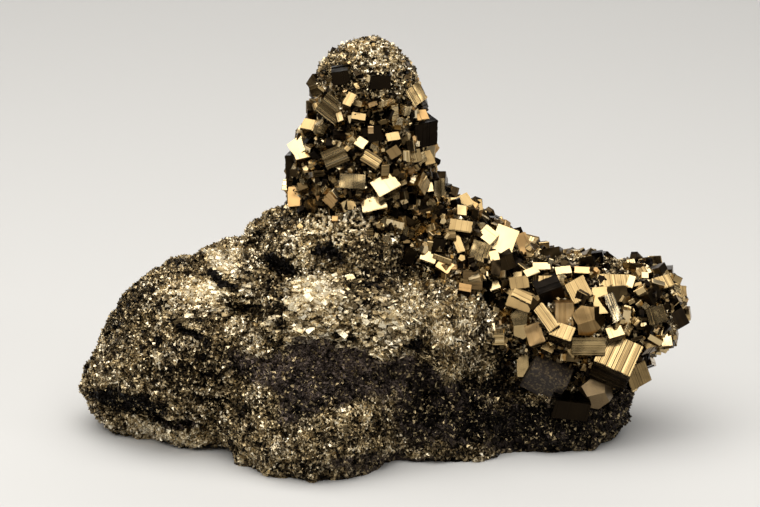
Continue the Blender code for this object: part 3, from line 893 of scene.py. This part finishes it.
def free_of_large_crystals(points, normals):
    """For each point, 0 where one of the tables' brighter crystals hides it from the front, and 1 elsewhere."""
    sight = np.array((0, -math.cos(VIEW_RISE), math.sin(VIEW_RISE)))
    free = np.ones(len(points))
    for crystal in NAMED_CRYSTALS:
        if crystal.tone < 0.1:
            continue
        beside = points - np.array(crystal.seat)
        beside -= np.outer(beside @ sight, sight)
        away = np.linalg.norm(beside, axis=1) / max(crystal.sides[:2])
        free = np.minimum(free, smooth_step(away, 0.35, 0.6))
    return np.where(normals @ sight > 0, free, 1)


def mark_regions(mesh):
    """Stores each region's and each mark's share at each vertex, with ragged edges."""
    points, normals = points_of(mesh)
    noise.seed_set(EDGE_SEED)
    rough = np.array([noise.noise_vector(p / 6) * 3.2 + noise.noise_vector(p / 1.9) * 1.3 for p in map(Vector, points)])
    clusters = np.array([noise.noise(p / 5) + 0.8 * noise.noise(p / 2.1) + 0.6 * noise.noise(p) for p in map(Vector, points)])
    ragged = points + rough
    free = free_of_large_crystals(points, normals)
    rings, whorls = np.zeros(len(points)), np.zeros(len(points))
    for middle, radius in RINGS:
        away, facing = seen_from(middle, points, normals)
        near = facing * (1 - smooth_step(away, radius * 0.8, radius * 1.2))
        rings += np.cos(away / RING_SPACING * 2 * math.pi) * near
        whorls = np.maximum(whorls, near)
    free *= 1 - whorls
    for name, lobes in REGIONS.items():
        store(mesh, name, region_cover(ragged, lobes) * (free if name.endswith("cover") else 1))
    # The grain's own tone varies at random by clusters; the marks add painted light and shade, and the rings their own
    # pattern
    glow = clusters * 0.55
    for mark in PAINTED_LIGHT_MARKS:
        glow += mark.strength * mark_cover(mark, points + rough * 0.5, normals)
    matrix = np.zeros(len(points))
    for mark in MATRIX:
        matrix = np.maximum(matrix, mark.strength * mark_cover(mark, ragged, normals))
    store(mesh, "glow", glow + rings * 1.3 + whorls * 0.2)
    store(mesh, "matrix", np.clip(matrix + clusters * 0.25 * (matrix > 0.02), 0, 1))
    store(mesh, "rings", rings)
    store(mesh, "whorls", whorls)
    store(mesh, "above_base", smooth_step(points[:, 2], 0.6, 1.5))


def present(obj, material, replaces=False):
    """Makes an object a piece of the specimen."""
    obj.data.materials.clear()
    obj.data.materials.append(material)
    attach(obj, "root")
    if replaces:
        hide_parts(NODE)


# Geometry Nodes


def node_group(name, inputs):
    """A modifier's tree with a mesh in and out, and named inputs; returns its sockets too."""
    group = bpy.data.node_groups.new(name, "GeometryNodeTree")
    group.interface.new_socket(name="Mesh", in_out="INPUT", socket_type="NodeSocketGeometry")
    group.interface.new_socket(name="Mesh", in_out="OUTPUT", socket_type="NodeSocketGeometry")
    for label, kind in inputs:
        group.interface.new_socket(name=label, in_out="INPUT", socket_type=kind)
    tree = Tree(group)
    start = tree.node("NodeGroupInput")
    sockets = {s.name: Socket(tree, s) for s in start.link.node.outputs if s.name}
    return group, tree, sockets


def run_group(host, group, values):
    """Runs a tree on a host with its inputs set, and returns the plain mesh that comes out."""
    modifier = host.modifiers.new(group.name, "NODES")
    modifier.node_group = group
    for item in group.interface.items_tree:
        if item.in_out == "INPUT" and item.name in values:
            modifier[item.identifier] = values[item.name]
    graph = bpy.context.evaluated_depsgraph_get()
    mesh = bpy.data.meshes.new_from_object(host.evaluated_get(graph))
    host.modifiers.remove(modifier)
    return mesh


def carried(tree, name):
    """A number that the mesh carries, in a modifier's tree."""
    return tree.node("GeometryNodeInputNamedAttribute", {"data_type": "FLOAT"}, {"Name": name}, "Attribute")


def moved_along(tree, vector, length):
    """A vector made longer by a number."""
    scaled = tree.vector("SCALE", vector)
    tree.tree.links.new(length.link, scaled.link.node.inputs["Scale"])
    return scaled


def relief_group():
    """Adds relief to the body: knobs, crevices, layers where it is layered, rings, and a rough grain. It also paints
    the crevices darker as painted shade, and the knobs and the upper part of each layer lighter as painted light.
    """
    inputs = [("Height", "NodeSocketFloat"), ("Seed", "NodeSocketInt"), ("Material", "NodeSocketMaterial")]
    group, tree, given = node_group("Fine relief", inputs)
    place = tree.node("GeometryNodeInputPosition")

    def clouds(scale, detail):
        values = {"Vector": tree.vector("ADD", place, (0.37, 0.11, 0.73)), "Scale": scale, "Detail": detail}
        return tree.node("ShaderNodeTexNoise", {}, values, "Fac") - 0.5

    crevices = 1.0 - clouds(190.0, 1.0).size().rise(0.0, 0.05)
    climb = tree.node("ShaderNodeSeparateXYZ", {}, {"Vector": place}, "Z") * 420.0 + clouds(120.0, 1.0) * 9.0
    layers = (climb - climb.whole() - 0.5) * carried(tree, "layered")
    grains = tree.node(
        "FunctionNodeRandomValue", {"data_type": "FLOAT"},
        {"Min_001": -0.5, "Max_001": 0.5, "Seed": given["Seed"]}, "Value_001",
    )
    lumps = clouds(140.0, 1.0) * 3.0 + clouds(420.0, 1.0) * 1.5 + grains * 0.3
    height = lumps - crevices * 0.9 + layers * 1.1 + carried(tree, "rings") * 0.6 - carried(tree, "matrix") * 0.7
    offset = moved_along(tree, tree.node("GeometryNodeInputNormal"), given["Height"] * height)
    # Painted light and shade: knobs lighter, crevices darker, each layer lighter towards its top, added to the marks'
    # painted light and tone
    marked = tree.node(
        "GeometryNodeStoreNamedAttribute", {"data_type": "FLOAT", "domain": "POINT"},
        {
            "Geometry": given["Mesh"], "Name": "glow",
            "Value": carried(tree, "glow") + lumps * 0.35 - crevices * 0.8 + layers * 0.8,
        },
    )
    moved = tree.node("GeometryNodeSetPosition", {}, {"Geometry": marked, "Offset": offset})
    painted = tree.node("GeometryNodeSetMaterial", {}, {"Geometry": moved, "Material": given["Material"]})
    real = tree.node("GeometryNodeRealizeInstances", {}, {"Geometry": painted})
    tree.node("NodeGroupOutput", {}, {"Mesh": real})
    return group


def scatter_group(cover, against):
    """Spreads crystals over a region of the body, each with a size, a turn, a tone and a hue of its own.

    Against holds the regions that they keep off, and by how much. All lean by the same angle, Flow turns
    neighbours alike, Disorder turns each by itself, and the faces of one differ in tone.
    """
    inputs = [
        ("Forms", "NodeSocketCollection"),
        ("Smallest", "NodeSocketFloat"),
        ("Largest", "NodeSocketFloat"),
        ("Spacing", "NodeSocketFloat"),
        ("Density", "NodeSocketFloat"),
        ("Proud", "NodeSocketFloat"),
        ("Lean", "NodeSocketFloat"),
        ("Flow", "NodeSocketFloat"),
        ("Disorder", "NodeSocketFloat"),
        ("Tone spread", "NodeSocketFloat"),
        ("Seed", "NodeSocketInt"),
        ("Material", "NodeSocketMaterial"),
    ]
    group, tree, given = node_group("Scatter on " + cover, inputs)

    def chance(low, high, step, kind="FLOAT"):
        index = {"FLOAT": "001", "FLOAT_VECTOR": ""}[kind]
        names = ("Min", "Max", "Value") if not index else (f"Min_{index}", f"Max_{index}", f"Value_{index}")
        values = {names[0]: low, names[1]: high, "Seed": given["Seed"] + float(step)}
        return tree.node("FunctionNodeRandomValue", {"data_type": kind}, values, names[2])

    def stored(geometry, name, value, domain="POINT"):
        settings = {"data_type": "FLOAT", "domain": domain}
        values = {"Geometry": geometry, "Name": name, "Value": value}
        return tree.node("GeometryNodeStoreNamedAttribute", settings, values)

    share = carried(tree, cover) * carried(tree, "above_base")
    for name, amount in against.items():
        share = share * (1.0 - carried(tree, name) * amount)
    points = tree.node(
        "GeometryNodeDistributePointsOnFaces", {"distribute_method": "POISSON"},
        {
            "Mesh": given["Mesh"], "Distance Min": given["Spacing"], "Density Max": given["Density"],
            "Density Factor": share, "Seed": given["Seed"],
        },
        "Points",
    )
    normal = tree.sibling(points, "Normal")
    size = given["Smallest"] + (given["Largest"] - given["Smallest"]) * chance(0.0, 1.0, 1) ** 2.0
    sized = stored(points, "size", size)
    lift = moved_along(tree, normal, carried(tree, "size") * given["Proud"])
    raised = tree.node("GeometryNodeSetPosition", {}, {"Geometry": sized, "Offset": lift})
    place = tree.node("GeometryNodeInputPosition")
    flow = tree.node("ShaderNodeTexNoise", {}, {"Vector": place, "Scale": 90.0, "Detail": 0.0}, "Color")
    flow = moved_along(tree, tree.vector("SUBTRACT", flow, (0.5, 0.5, 0.5)), given["Flow"])
    own = moved_along(tree, chance((-1, -1, -1), (1, 1, 1), 2, "FLOAT_VECTOR"), given["Disorder"])
    lean = moved_along(tree, tree.node("ShaderNodeCombineXYZ", {}, {"X": 1.0}), given["Lean"])
    angles = tree.vector("ADD", lean, tree.vector("ADD", flow, own))
    turn = tree.node("FunctionNodeEulerToRotation", {}, {"Euler": angles})
    shape = moved_along(tree, chance((0.6, 0.6, 0.6), (1.25, 1.25, 1.25), 3, "FLOAT_VECTOR"), carried(tree, "size"))
    forms = tree.node(
        "GeometryNodeCollectionInfo", {"transform_space": "ORIGINAL"},
        {"Collection": given["Forms"], "Separate Children": True, "Reset Children": True},
    )
    grown = tree.node(
        "GeometryNodeInstanceOnPoints", {},
        {"Points": raised, "Instance": forms, "Pick Instance": True, "Rotation": turn, "Scale": shape},
    )
    grown = stored(grown, "tone", chance(0.0, 1.0, 4), "INSTANCE")
    grown = stored(grown, "hue", chance(0.0, 1.0, 5), "INSTANCE")
    real = tree.node("GeometryNodeRealizeInstances", {}, {"Geometry": grown})
    face_tone = carried(tree, "tone") + chance(-0.5, 0.5, 6) * given["Tone spread"]
    real = stored(real, "tone", face_tone, "FACE")
    flat = tree.vector("MAXIMUM", place, (-1.0, -1.0, 0.0))
    rested = tree.node("GeometryNodeSetPosition", {}, {"Geometry": real, "Position": flat})
    painted = tree.node("GeometryNodeSetMaterial", {}, {"Geometry": rested, "Material": given["Material"]})
    tree.node("NodeGroupOutput", {}, {"Mesh": painted})
    return group


def mark_striae(shape, matrix, faces, count):
    """Stores, on each face, a number that climbs across its growth lines, which turn from face to face."""
    layer = shape.loops.layers.float.get("striae") or shape.loops.layers.float.new("striae")
    inverse = matrix.inverted()
    turn = matrix.to_quaternion().inverted()
    for face in faces:
        normal = turn @ face.normal
        across = max(range(3), key=lambda axis: abs(normal[axis]))
        for loop in face.loops:
            loop[layer] = (inverse @ loop.vert.co)[(across + 1) % 3] * count


def form_collection(name, shapes):
    """A collection, hidden from the scene, that holds the shapes."""
    forms = bpy.data.collections.new(name)
    for number, shape in enumerate(shapes):
        obj = new_object(f"{name}_{number}", shape)
        bpy.context.scene.collection.objects.unlink(obj)
        forms.objects.link(obj)
    return forms


def block(sides, chamfer, lines):
    """A block about a unit wide, with growth lines, and with chamfered edges if a width is given."""
    shape = bmesh.new()
    bmesh.ops.create_cube(shape, size=1, matrix=Matrix.Diagonal((*sides, 1)))
    if chamfer:
        bmesh.ops.bevel(shape, geom=shape.edges[:], offset=chamfer, segments=1, affect="EDGES")
    shape.normal_update()
    mark_striae(shape, Matrix.Identity(4), shape.faces, lines)
    return shape


def crystal_forms():
    """The small crystals' forms: a cube, a slab and a prism with chamfered edges, and a pyritohedron."""
    shapes = [block(sides, 0.04, 3.0) for sides in ((1, 1, 1), (1.25, 1.05, 0.55), (0.7, 0.8, 1.35))]
    twelve_faced = bmesh.new()
    add_pyritohedron(twelve_faced, Matrix.Scale(0.55, 4), (1, 1, 1))
    mark_striae(twelve_faced, Matrix.Identity(4), twelve_faced.faces, 3.0)
    return form_collection("crystal_form", (*shapes, twelve_faced))


def sugar_forms():
    """The forms of the tiny crystals: a plain cube and a plain slab."""
    return form_collection("sugar_form", [block(sides, 0, 1.0) for sides in ((1, 1, 1), (1.3, 1, 0.5))])


def splinter(sides):
    """A four-faced splinter about a unit wide."""
    shape = bmesh.new()
    corners = [Vector(c) * Vector(sides) * 0.5 for c in ((1, 1, 1), (-1, -1, 1), (-1, 1, -1), (1, -1, -1))]
    bmesh.ops.convex_hull(shape, input=[shape.verts.new(corner) for corner in corners])
    return shape


def flake_forms():
    """The forms of the ledges' flakes: thin slabs, longer than high once they lean."""
    return form_collection("flake_form", [block(sides, 0, 1.0) for sides in ((1.5, 0.75, 0.3), (1, 0.55, 0.3))])


def needle_forms():
    """The silvery fibres' form: a long four-faced splinter."""
    return form_collection("needle_form", [splinter((1.9, 0.34, 0.3))])


def splinter_forms():
    """The finest grains' forms: a squat splinter and a long one."""
    return form_collection("splinter_form", [splinter((1, 1, 1)), splinter((1.7, 0.7, 0.6))])


def add_pyritohedron(shape, matrix, sides):
    """Adds a crystal with twelve five-sided faces."""
    corners = [Vector((x, y, z)) for x in (-1, 1) for y in (-1, 1) for z in (-1, 1)]
    for long in (-1.5, 1.5):
        for short in (-0.75, 0.75):
            corners += [Vector((0, long, short)), Vector((short, 0, long)), Vector((long, short, 0))]
    scaled = matrix @ Matrix.Diagonal((*sides, 1))
    made = [shape.verts.new(scaled @ (corner / 1.5)) for corner in corners]
    hull = bmesh.ops.convex_hull(shape, input=made)
    faces = [item for item in hull["geom"] if isinstance(item, bmesh.types.BMFace)]
    edges = {edge for face in faces for edge in face.edges}
    bmesh.ops.dissolve_limit(shape, angle_limit=0.02, verts=made, edges=list(edges))
    shape.normal_update()


def add_steps(shape, matrix, half, axis, way, chance):
    """Adds a face's growth steps: a plate whose stepped outline runs the whole length of the face."""
    across, along = (axis + 1) % 3, (axis + 2) % 3
    width, reach = half[across] * 0.985, half[along] * 0.985
    height = sizes().step / MM
    cuts = max(3, round(2 * width / (sizes().stripe / MM)))
    marks = sorted([-width, width] + [chance.uniform(-width, width) for _ in range(cuts - 1)])
    outline = [(-width, half[axis] - 0.4)]
    for low, high in zip(marks, marks[1:]):
        level = half[axis] + height * chance.random() ** 1.6
        outline += [(low, level), (high, level)]
    outline.append((width, half[axis] - 0.4))
    ends = []
    for end in (-reach, reach):
        ring = []
        for place, level in outline:
            point = Vector()
            point[across], point[along], point[axis] = place, end, level * way
            ring.append(shape.verts.new(matrix @ point))
        ends.append(ring)
    first, second = ends
    if way < 0:
        first, second = second, first
    shape.faces.new(first[::-1])
    shape.faces.new(second)
    for index in range(len(first)):
        after = (index + 1) % len(first)
        shape.faces.new((first[index], first[after], second[after], second[index]))


def add_crystal(shape, crystal, skin_tree, chance):
    """Adds one large crystal with its growth steps, and stores its tone, its hue and its lines."""
    matrix = seated(crystal, skin_tree)
    half = [side / 2 for side in crystal.sides]
    others = set(shape.faces)
    if crystal.form == "block":
        core = [side - 0.06 for side in half]
        made = bmesh.ops.create_cube(shape, size=2, matrix=matrix @ Matrix.Diagonal((*core, 1)))
        edges = list({edge for vert in made["verts"] for edge in vert.link_edges})
        bmesh.ops.bevel(shape, geom=edges, offset=0.12, segments=1, affect="EDGES")
        for axis, way in ((2, 1), (0, 1), (0, -1), (1, 1), (1, -1)):
            add_steps(shape, matrix, half, axis, way, chance)
    else:
        add_pyritohedron(shape, matrix, half)
    faces = [face for face in shape.faces if face not in others]
    shape.normal_update()
    mark_striae(shape, matrix, faces, 1.0)
    paint_crystal(shape, crystal, matrix, faces, chance)


def paint_crystal(shape, crystal, matrix, faces, chance):
    """Stores the tone, hue, soot and lines of a large crystal's faces: the widest face has its own tone, and sides that
    look down are painted darker as painted shade.
    """
    names = ("tone", "hue", "soot", "lines")
    layers = [shape.loops.layers.float.get(name) or shape.loops.layers.float.new(name) for name in names]
    inverse = matrix.to_quaternion().inverted()
    given = crystal.tone >= 0
    base = crystal.tone if given else 0.12 + 0.56 * chance.random()
    hue = crystal.hue if crystal.hue >= 0 else chance.random()
    lines = crystal.lines if crystal.lines >= 0 else chance.choice((0, 0.4, 1))
    side_tones = {}
    for face in faces:
        way = tuple(round(value) for value in inverse @ face.normal)
        if way not in side_tones:
            shade = chance.uniform(0.35, 0.8) if given else chance.uniform(0.4, 1.3)
            if crystal.form != "block":
                shade = chance.uniform(0.8, 1.1)
            # Painted shade on the sides that look down
            if face.normal.z < -0.15:
                shade *= UNDERSIDE_PAINTED_SHADE
            side_tones[way] = base if way == (0, 0, 1) else base * shade
        for loop in face.loops:
            for layer, value in zip(layers, (side_tones[way], hue, crystal.soot, lines)):
                loop[layer] = value


# Operators


class SPECIMEN_OT_body(bpy.types.Operator):
    """Grow the lumpy body with its fine relief"""

    bl_idname = "specimen.body"
    bl_label = "Body"

    def execute(self, context):
        skin = lumpy_skin()
        skin.name = "bare_skin"
        body = bpy.data.objects.new(BODY, skin.data.copy())
        context.scene.collection.objects.link(body)
        fuse(body, FINE_VOXEL)
        to_frame(body)
        mark_regions(body.data)
        values = {"Height": sizes().relief, "Seed": sizes().seed, "Material": grain_material("grainy_body", 1700.0, 1.2, None, 0.24)}
        body.data = run_group(body, relief_group(), values)
        shape = bmesh.new()
        shape.from_mesh(body.data)
        every = shape.verts[:] + shape.edges[:] + shape.faces[:]
        cut = bmesh.ops.bisect_plane(
            shape, geom=every, plane_co=(0, 0, 0), plane_no=(0, 0, -1), clear_outer=True
        )
        rim = [item for item in cut["geom_cut"] if isinstance(item, bmesh.types.BMEdge)]
        bmesh.ops.triangle_fill(shape, edges=rim, use_beauty=True, normal=(0, 0, -1))
        shape.to_mesh(body.data)
        shape.free()
        present(body, body.data.materials[0], replaces=True)
        return {"FINISHED"}


class SPECIMEN_OT_large_crystals(bpy.types.Operator):
    """Grow the large crystals with their stepped faces"""

    bl_idname = "specimen.large_crystals"
    bl_label = "Large crystals"

    def execute(self, context):
        skin = bpy.data.objects["bare_skin"]
        skin_tree = BVHTree.FromObject(skin, context.evaluated_depsgraph_get())
        chance = random.Random(sizes().seed)
        shape = bmesh.new()
        for crystal in (*NAMED_CRYSTALS, *scattered_crystals(skin, NAMED_CRYSTALS)):
            add_crystal(shape, crystal, skin_tree, chance)
        crystals = new_object("large_crystals", shape)
        to_frame(crystals)
        present(crystals, crystal_material("large_crystal_faces", 0.0004, True))
        drop(skin)
        return {"FINISHED"}


def scatter(name, cover, against, material, forms, **values):
    """Grows one piece of many small crystals on the body."""
    body = bpy.data.objects[BODY]
    host = bpy.data.objects.new("host", body.data)
    bpy.context.scene.collection.objects.link(host)
    group = scatter_group(cover, against)
    mesh = run_group(host, group, {"Forms": forms, "Material": material, **values})
    piece = bpy.data.objects.new(name, mesh)
    bpy.context.scene.collection.objects.link(piece)
    drop(host)
    if not mesh.vertices:
        raise RuntimeError(f"{name} has no crystals")
    present(piece, material)


class SPECIMEN_OT_small_crystals(bpy.types.Operator):
    """Grow the crust of small crystals, and the tiny ones between them"""

    bl_idname = "specimen.small_crystals"
    bl_label = "Small crystals"

    def execute(self, context):
        size = sizes().small_crystal
        material = crystal_material("small_crystal_faces", 0.0003, False)
        common = {"Density": 6e5, "Flow": 14.0, "Tone spread": 0.45}
        scatter(
            "small_crystals", "crystal_cover", {}, material, crystal_forms(), Smallest=size * 0.42,
            Largest=size, Spacing=size * 0.4, Proud=0.16, Disorder=0.7, Seed=sizes().seed, **common,
        )
        scatter(
            "tiny_crystals", "sugar_cover", {}, material, sugar_forms(), Smallest=size * 0.16,
            Largest=size * 0.42, Spacing=size * 0.25, Proud=0.2, Disorder=1.2, Seed=sizes().seed + 10, **common,
        )
        return {"FINISHED"}


class SPECIMEN_OT_grain(bpy.types.Operator):
    """Grow the fine grain of the body"""

    bl_idname = "specimen.grain"
    bl_label = "Grain"

    def execute(self, context):
        size = sizes().grain
        material = grain_material("grain_faces", 2500.0, 0.3, "tone")
        scatter(
            "flakes", "layered", {"matrix": 1.0}, material, flake_forms(), Smallest=size * 1.3,
            Largest=size * 3.1, Spacing=size * 1.05, Density=2e6, Proud=0.12, Lean=0.92, Flow=1.6,
            Disorder=0.55, Seed=sizes().seed + 20, **{"Tone spread": 0.5},
        )
        scatter(
            "fibres", "fibrous", {"matrix": 1.0, "crystal_cover": 1.0}, material, needle_forms(),
            Smallest=size * 1.2, Largest=size * 2.8, Spacing=size * 0.7, Density=5e6, Proud=0.14, Flow=9.0,
            Disorder=0.8, Seed=sizes().seed + 30, **{"Tone spread": 0.7},
        )
        splinters = splinter_forms()
        keep_off = {"crystal_cover": 1.0, "layered": 0.5, "fibrous": 0.4, "whorls": 0.7}
        for number in (1, 2, 3):
            scatter(
                f"fine_grain_{number}", "above_base", keep_off, material, splinters, Flow=14.0,
                Smallest=size * 0.6, Largest=size * 1.7, Spacing=size * 0.89, Density=5e6, Proud=0.15,
                Disorder=1.6, Seed=sizes().seed + 40 * number, **{"Tone spread": 0.6},
            )
        return {"FINISHED"}


class SPECIMEN_OT_stage(bpy.types.Operator):
    """Set up the floor, the lights and the camera"""

    bl_idname = "specimen.stage"
    bl_label = "Stage"

    def execute(self, context):
        shape = bmesh.new()
        bmesh.ops.create_grid(shape, x_segments=1, y_segments=1, size=4)
        floor = new_object("floor", shape)
        floor.data.materials.append(floor_material())
        self.light("ceiling_softbox", (-0.05, -0.14, 0.75), (1.3, 1.05), 13.0, (1.0, 0.97, 0.92))
        self.light("left_softbox", (-0.65, -0.35, 0.35), (0.25, 0.25), 1.0, (1.0, 0.97, 0.92))
        self.light("right_softbox", (0.60, -0.35, 0.35), (0.2, 0.2), 0.6, (1.0, 0.98, 0.95))
        self.light("back_softbox", (0.0, 0.85, 0.38), (1.6, 0.5), 3.0, (1.0, 0.97, 0.92))
        context.scene.world = self.sky()
        context.scene.view_settings.view_transform = "Standard"
        self.camera(context)
        return {"FINISHED"}

    @staticmethod
    def light(name, place, sides, power, colour):
        """A soft light that looks at the middle of the specimen."""
        lamp = bpy.data.lights.new(name, "AREA")
        lamp.shape = "RECTANGLE"
        lamp.size, lamp.size_y = sides
        lamp.energy = power
        lamp.color = colour
        obj = bpy.data.objects.new(name, lamp)
        obj.location = place
        aim = Vector((0, 0, 0.045)) - obj.location
        obj.rotation_euler = aim.to_track_quat("-Z", "Y").to_euler()
        bpy.context.scene.collection.objects.link(obj)

    @staticmethod
    def sky():
        """A studio that is dim all round."""
        world = bpy.data.worlds.new("studio")
        world.use_nodes = True
        world.node_tree.nodes["Background"].inputs["Color"].default_value = (0.06, 0.061, 0.065, 1)
        return world

    @staticmethod
    def camera(context):
        """A camera a little above the specimen's middle, straight in front of it."""
        rise, away, span = VIEW_RISE, 0.65, 0.19
        back = Vector((0, -math.cos(rise), math.sin(rise)))
        camera = bpy.data.objects.new("camera", bpy.data.cameras.new("camera"))
        aim = (Vector((-2, 0, 46.7)) - MIDDLE) * MM
        camera.location = aim + back * away
        camera.rotation_mode = "QUATERNION"
        camera.rotation_quaternion = (-back).to_track_quat("-Z", "Y")
        camera.data.sensor_width = 36
        camera.data.lens = 36 * away / span
        camera.data.clip_start, camera.data.clip_end = 0.01, 20
        context.scene.collection.objects.link(camera)
        context.scene.camera = camera


class SPECIMEN_PT_panel(bpy.types.Panel):
    """The specimen's sizes, colours and operators"""

    bl_label = "Pyrite specimen"
    bl_space_type = "VIEW_3D"
    bl_region_type = "UI"
    bl_category = "Specimen"

    def draw(self, context):
        for group in (context.scene.specimen_sizes, context.scene.specimen_colours):
            box = self.layout.box()
            for name in group.bl_rna.properties.keys():
                if name not in ("rna_type", "name"):
                    box.prop(group, name)
        for operator in OPERATORS:
            self.layout.operator(operator.bl_idname)


OPERATORS = (
    SPECIMEN_OT_body,
    SPECIMEN_OT_large_crystals,
    SPECIMEN_OT_small_crystals,
    SPECIMEN_OT_grain,
    SPECIMEN_OT_stage,
)
CLASSES = (SpecimenSizes, SpecimenColours, *OPERATORS, SPECIMEN_PT_panel)


def register():
    for kind in CLASSES:
        bpy.utils.register_class(kind)
    bpy.types.Scene.specimen_sizes = PointerProperty(type=SpecimenSizes)
    bpy.types.Scene.specimen_colours = PointerProperty(type=SpecimenColours)


def unregister():
    del bpy.types.Scene.specimen_colours
    del bpy.types.Scene.specimen_sizes
    for kind in reversed(CLASSES):
        bpy.utils.unregister_class(kind)


def main():
    register()
    bpy.ops.specimen.body()
    bpy.ops.specimen.large_crystals()
    bpy.ops.specimen.small_crystals()
    bpy.ops.specimen.grain()
    bpy.ops.specimen.stage()


if __name__ == "__main__":
    main()
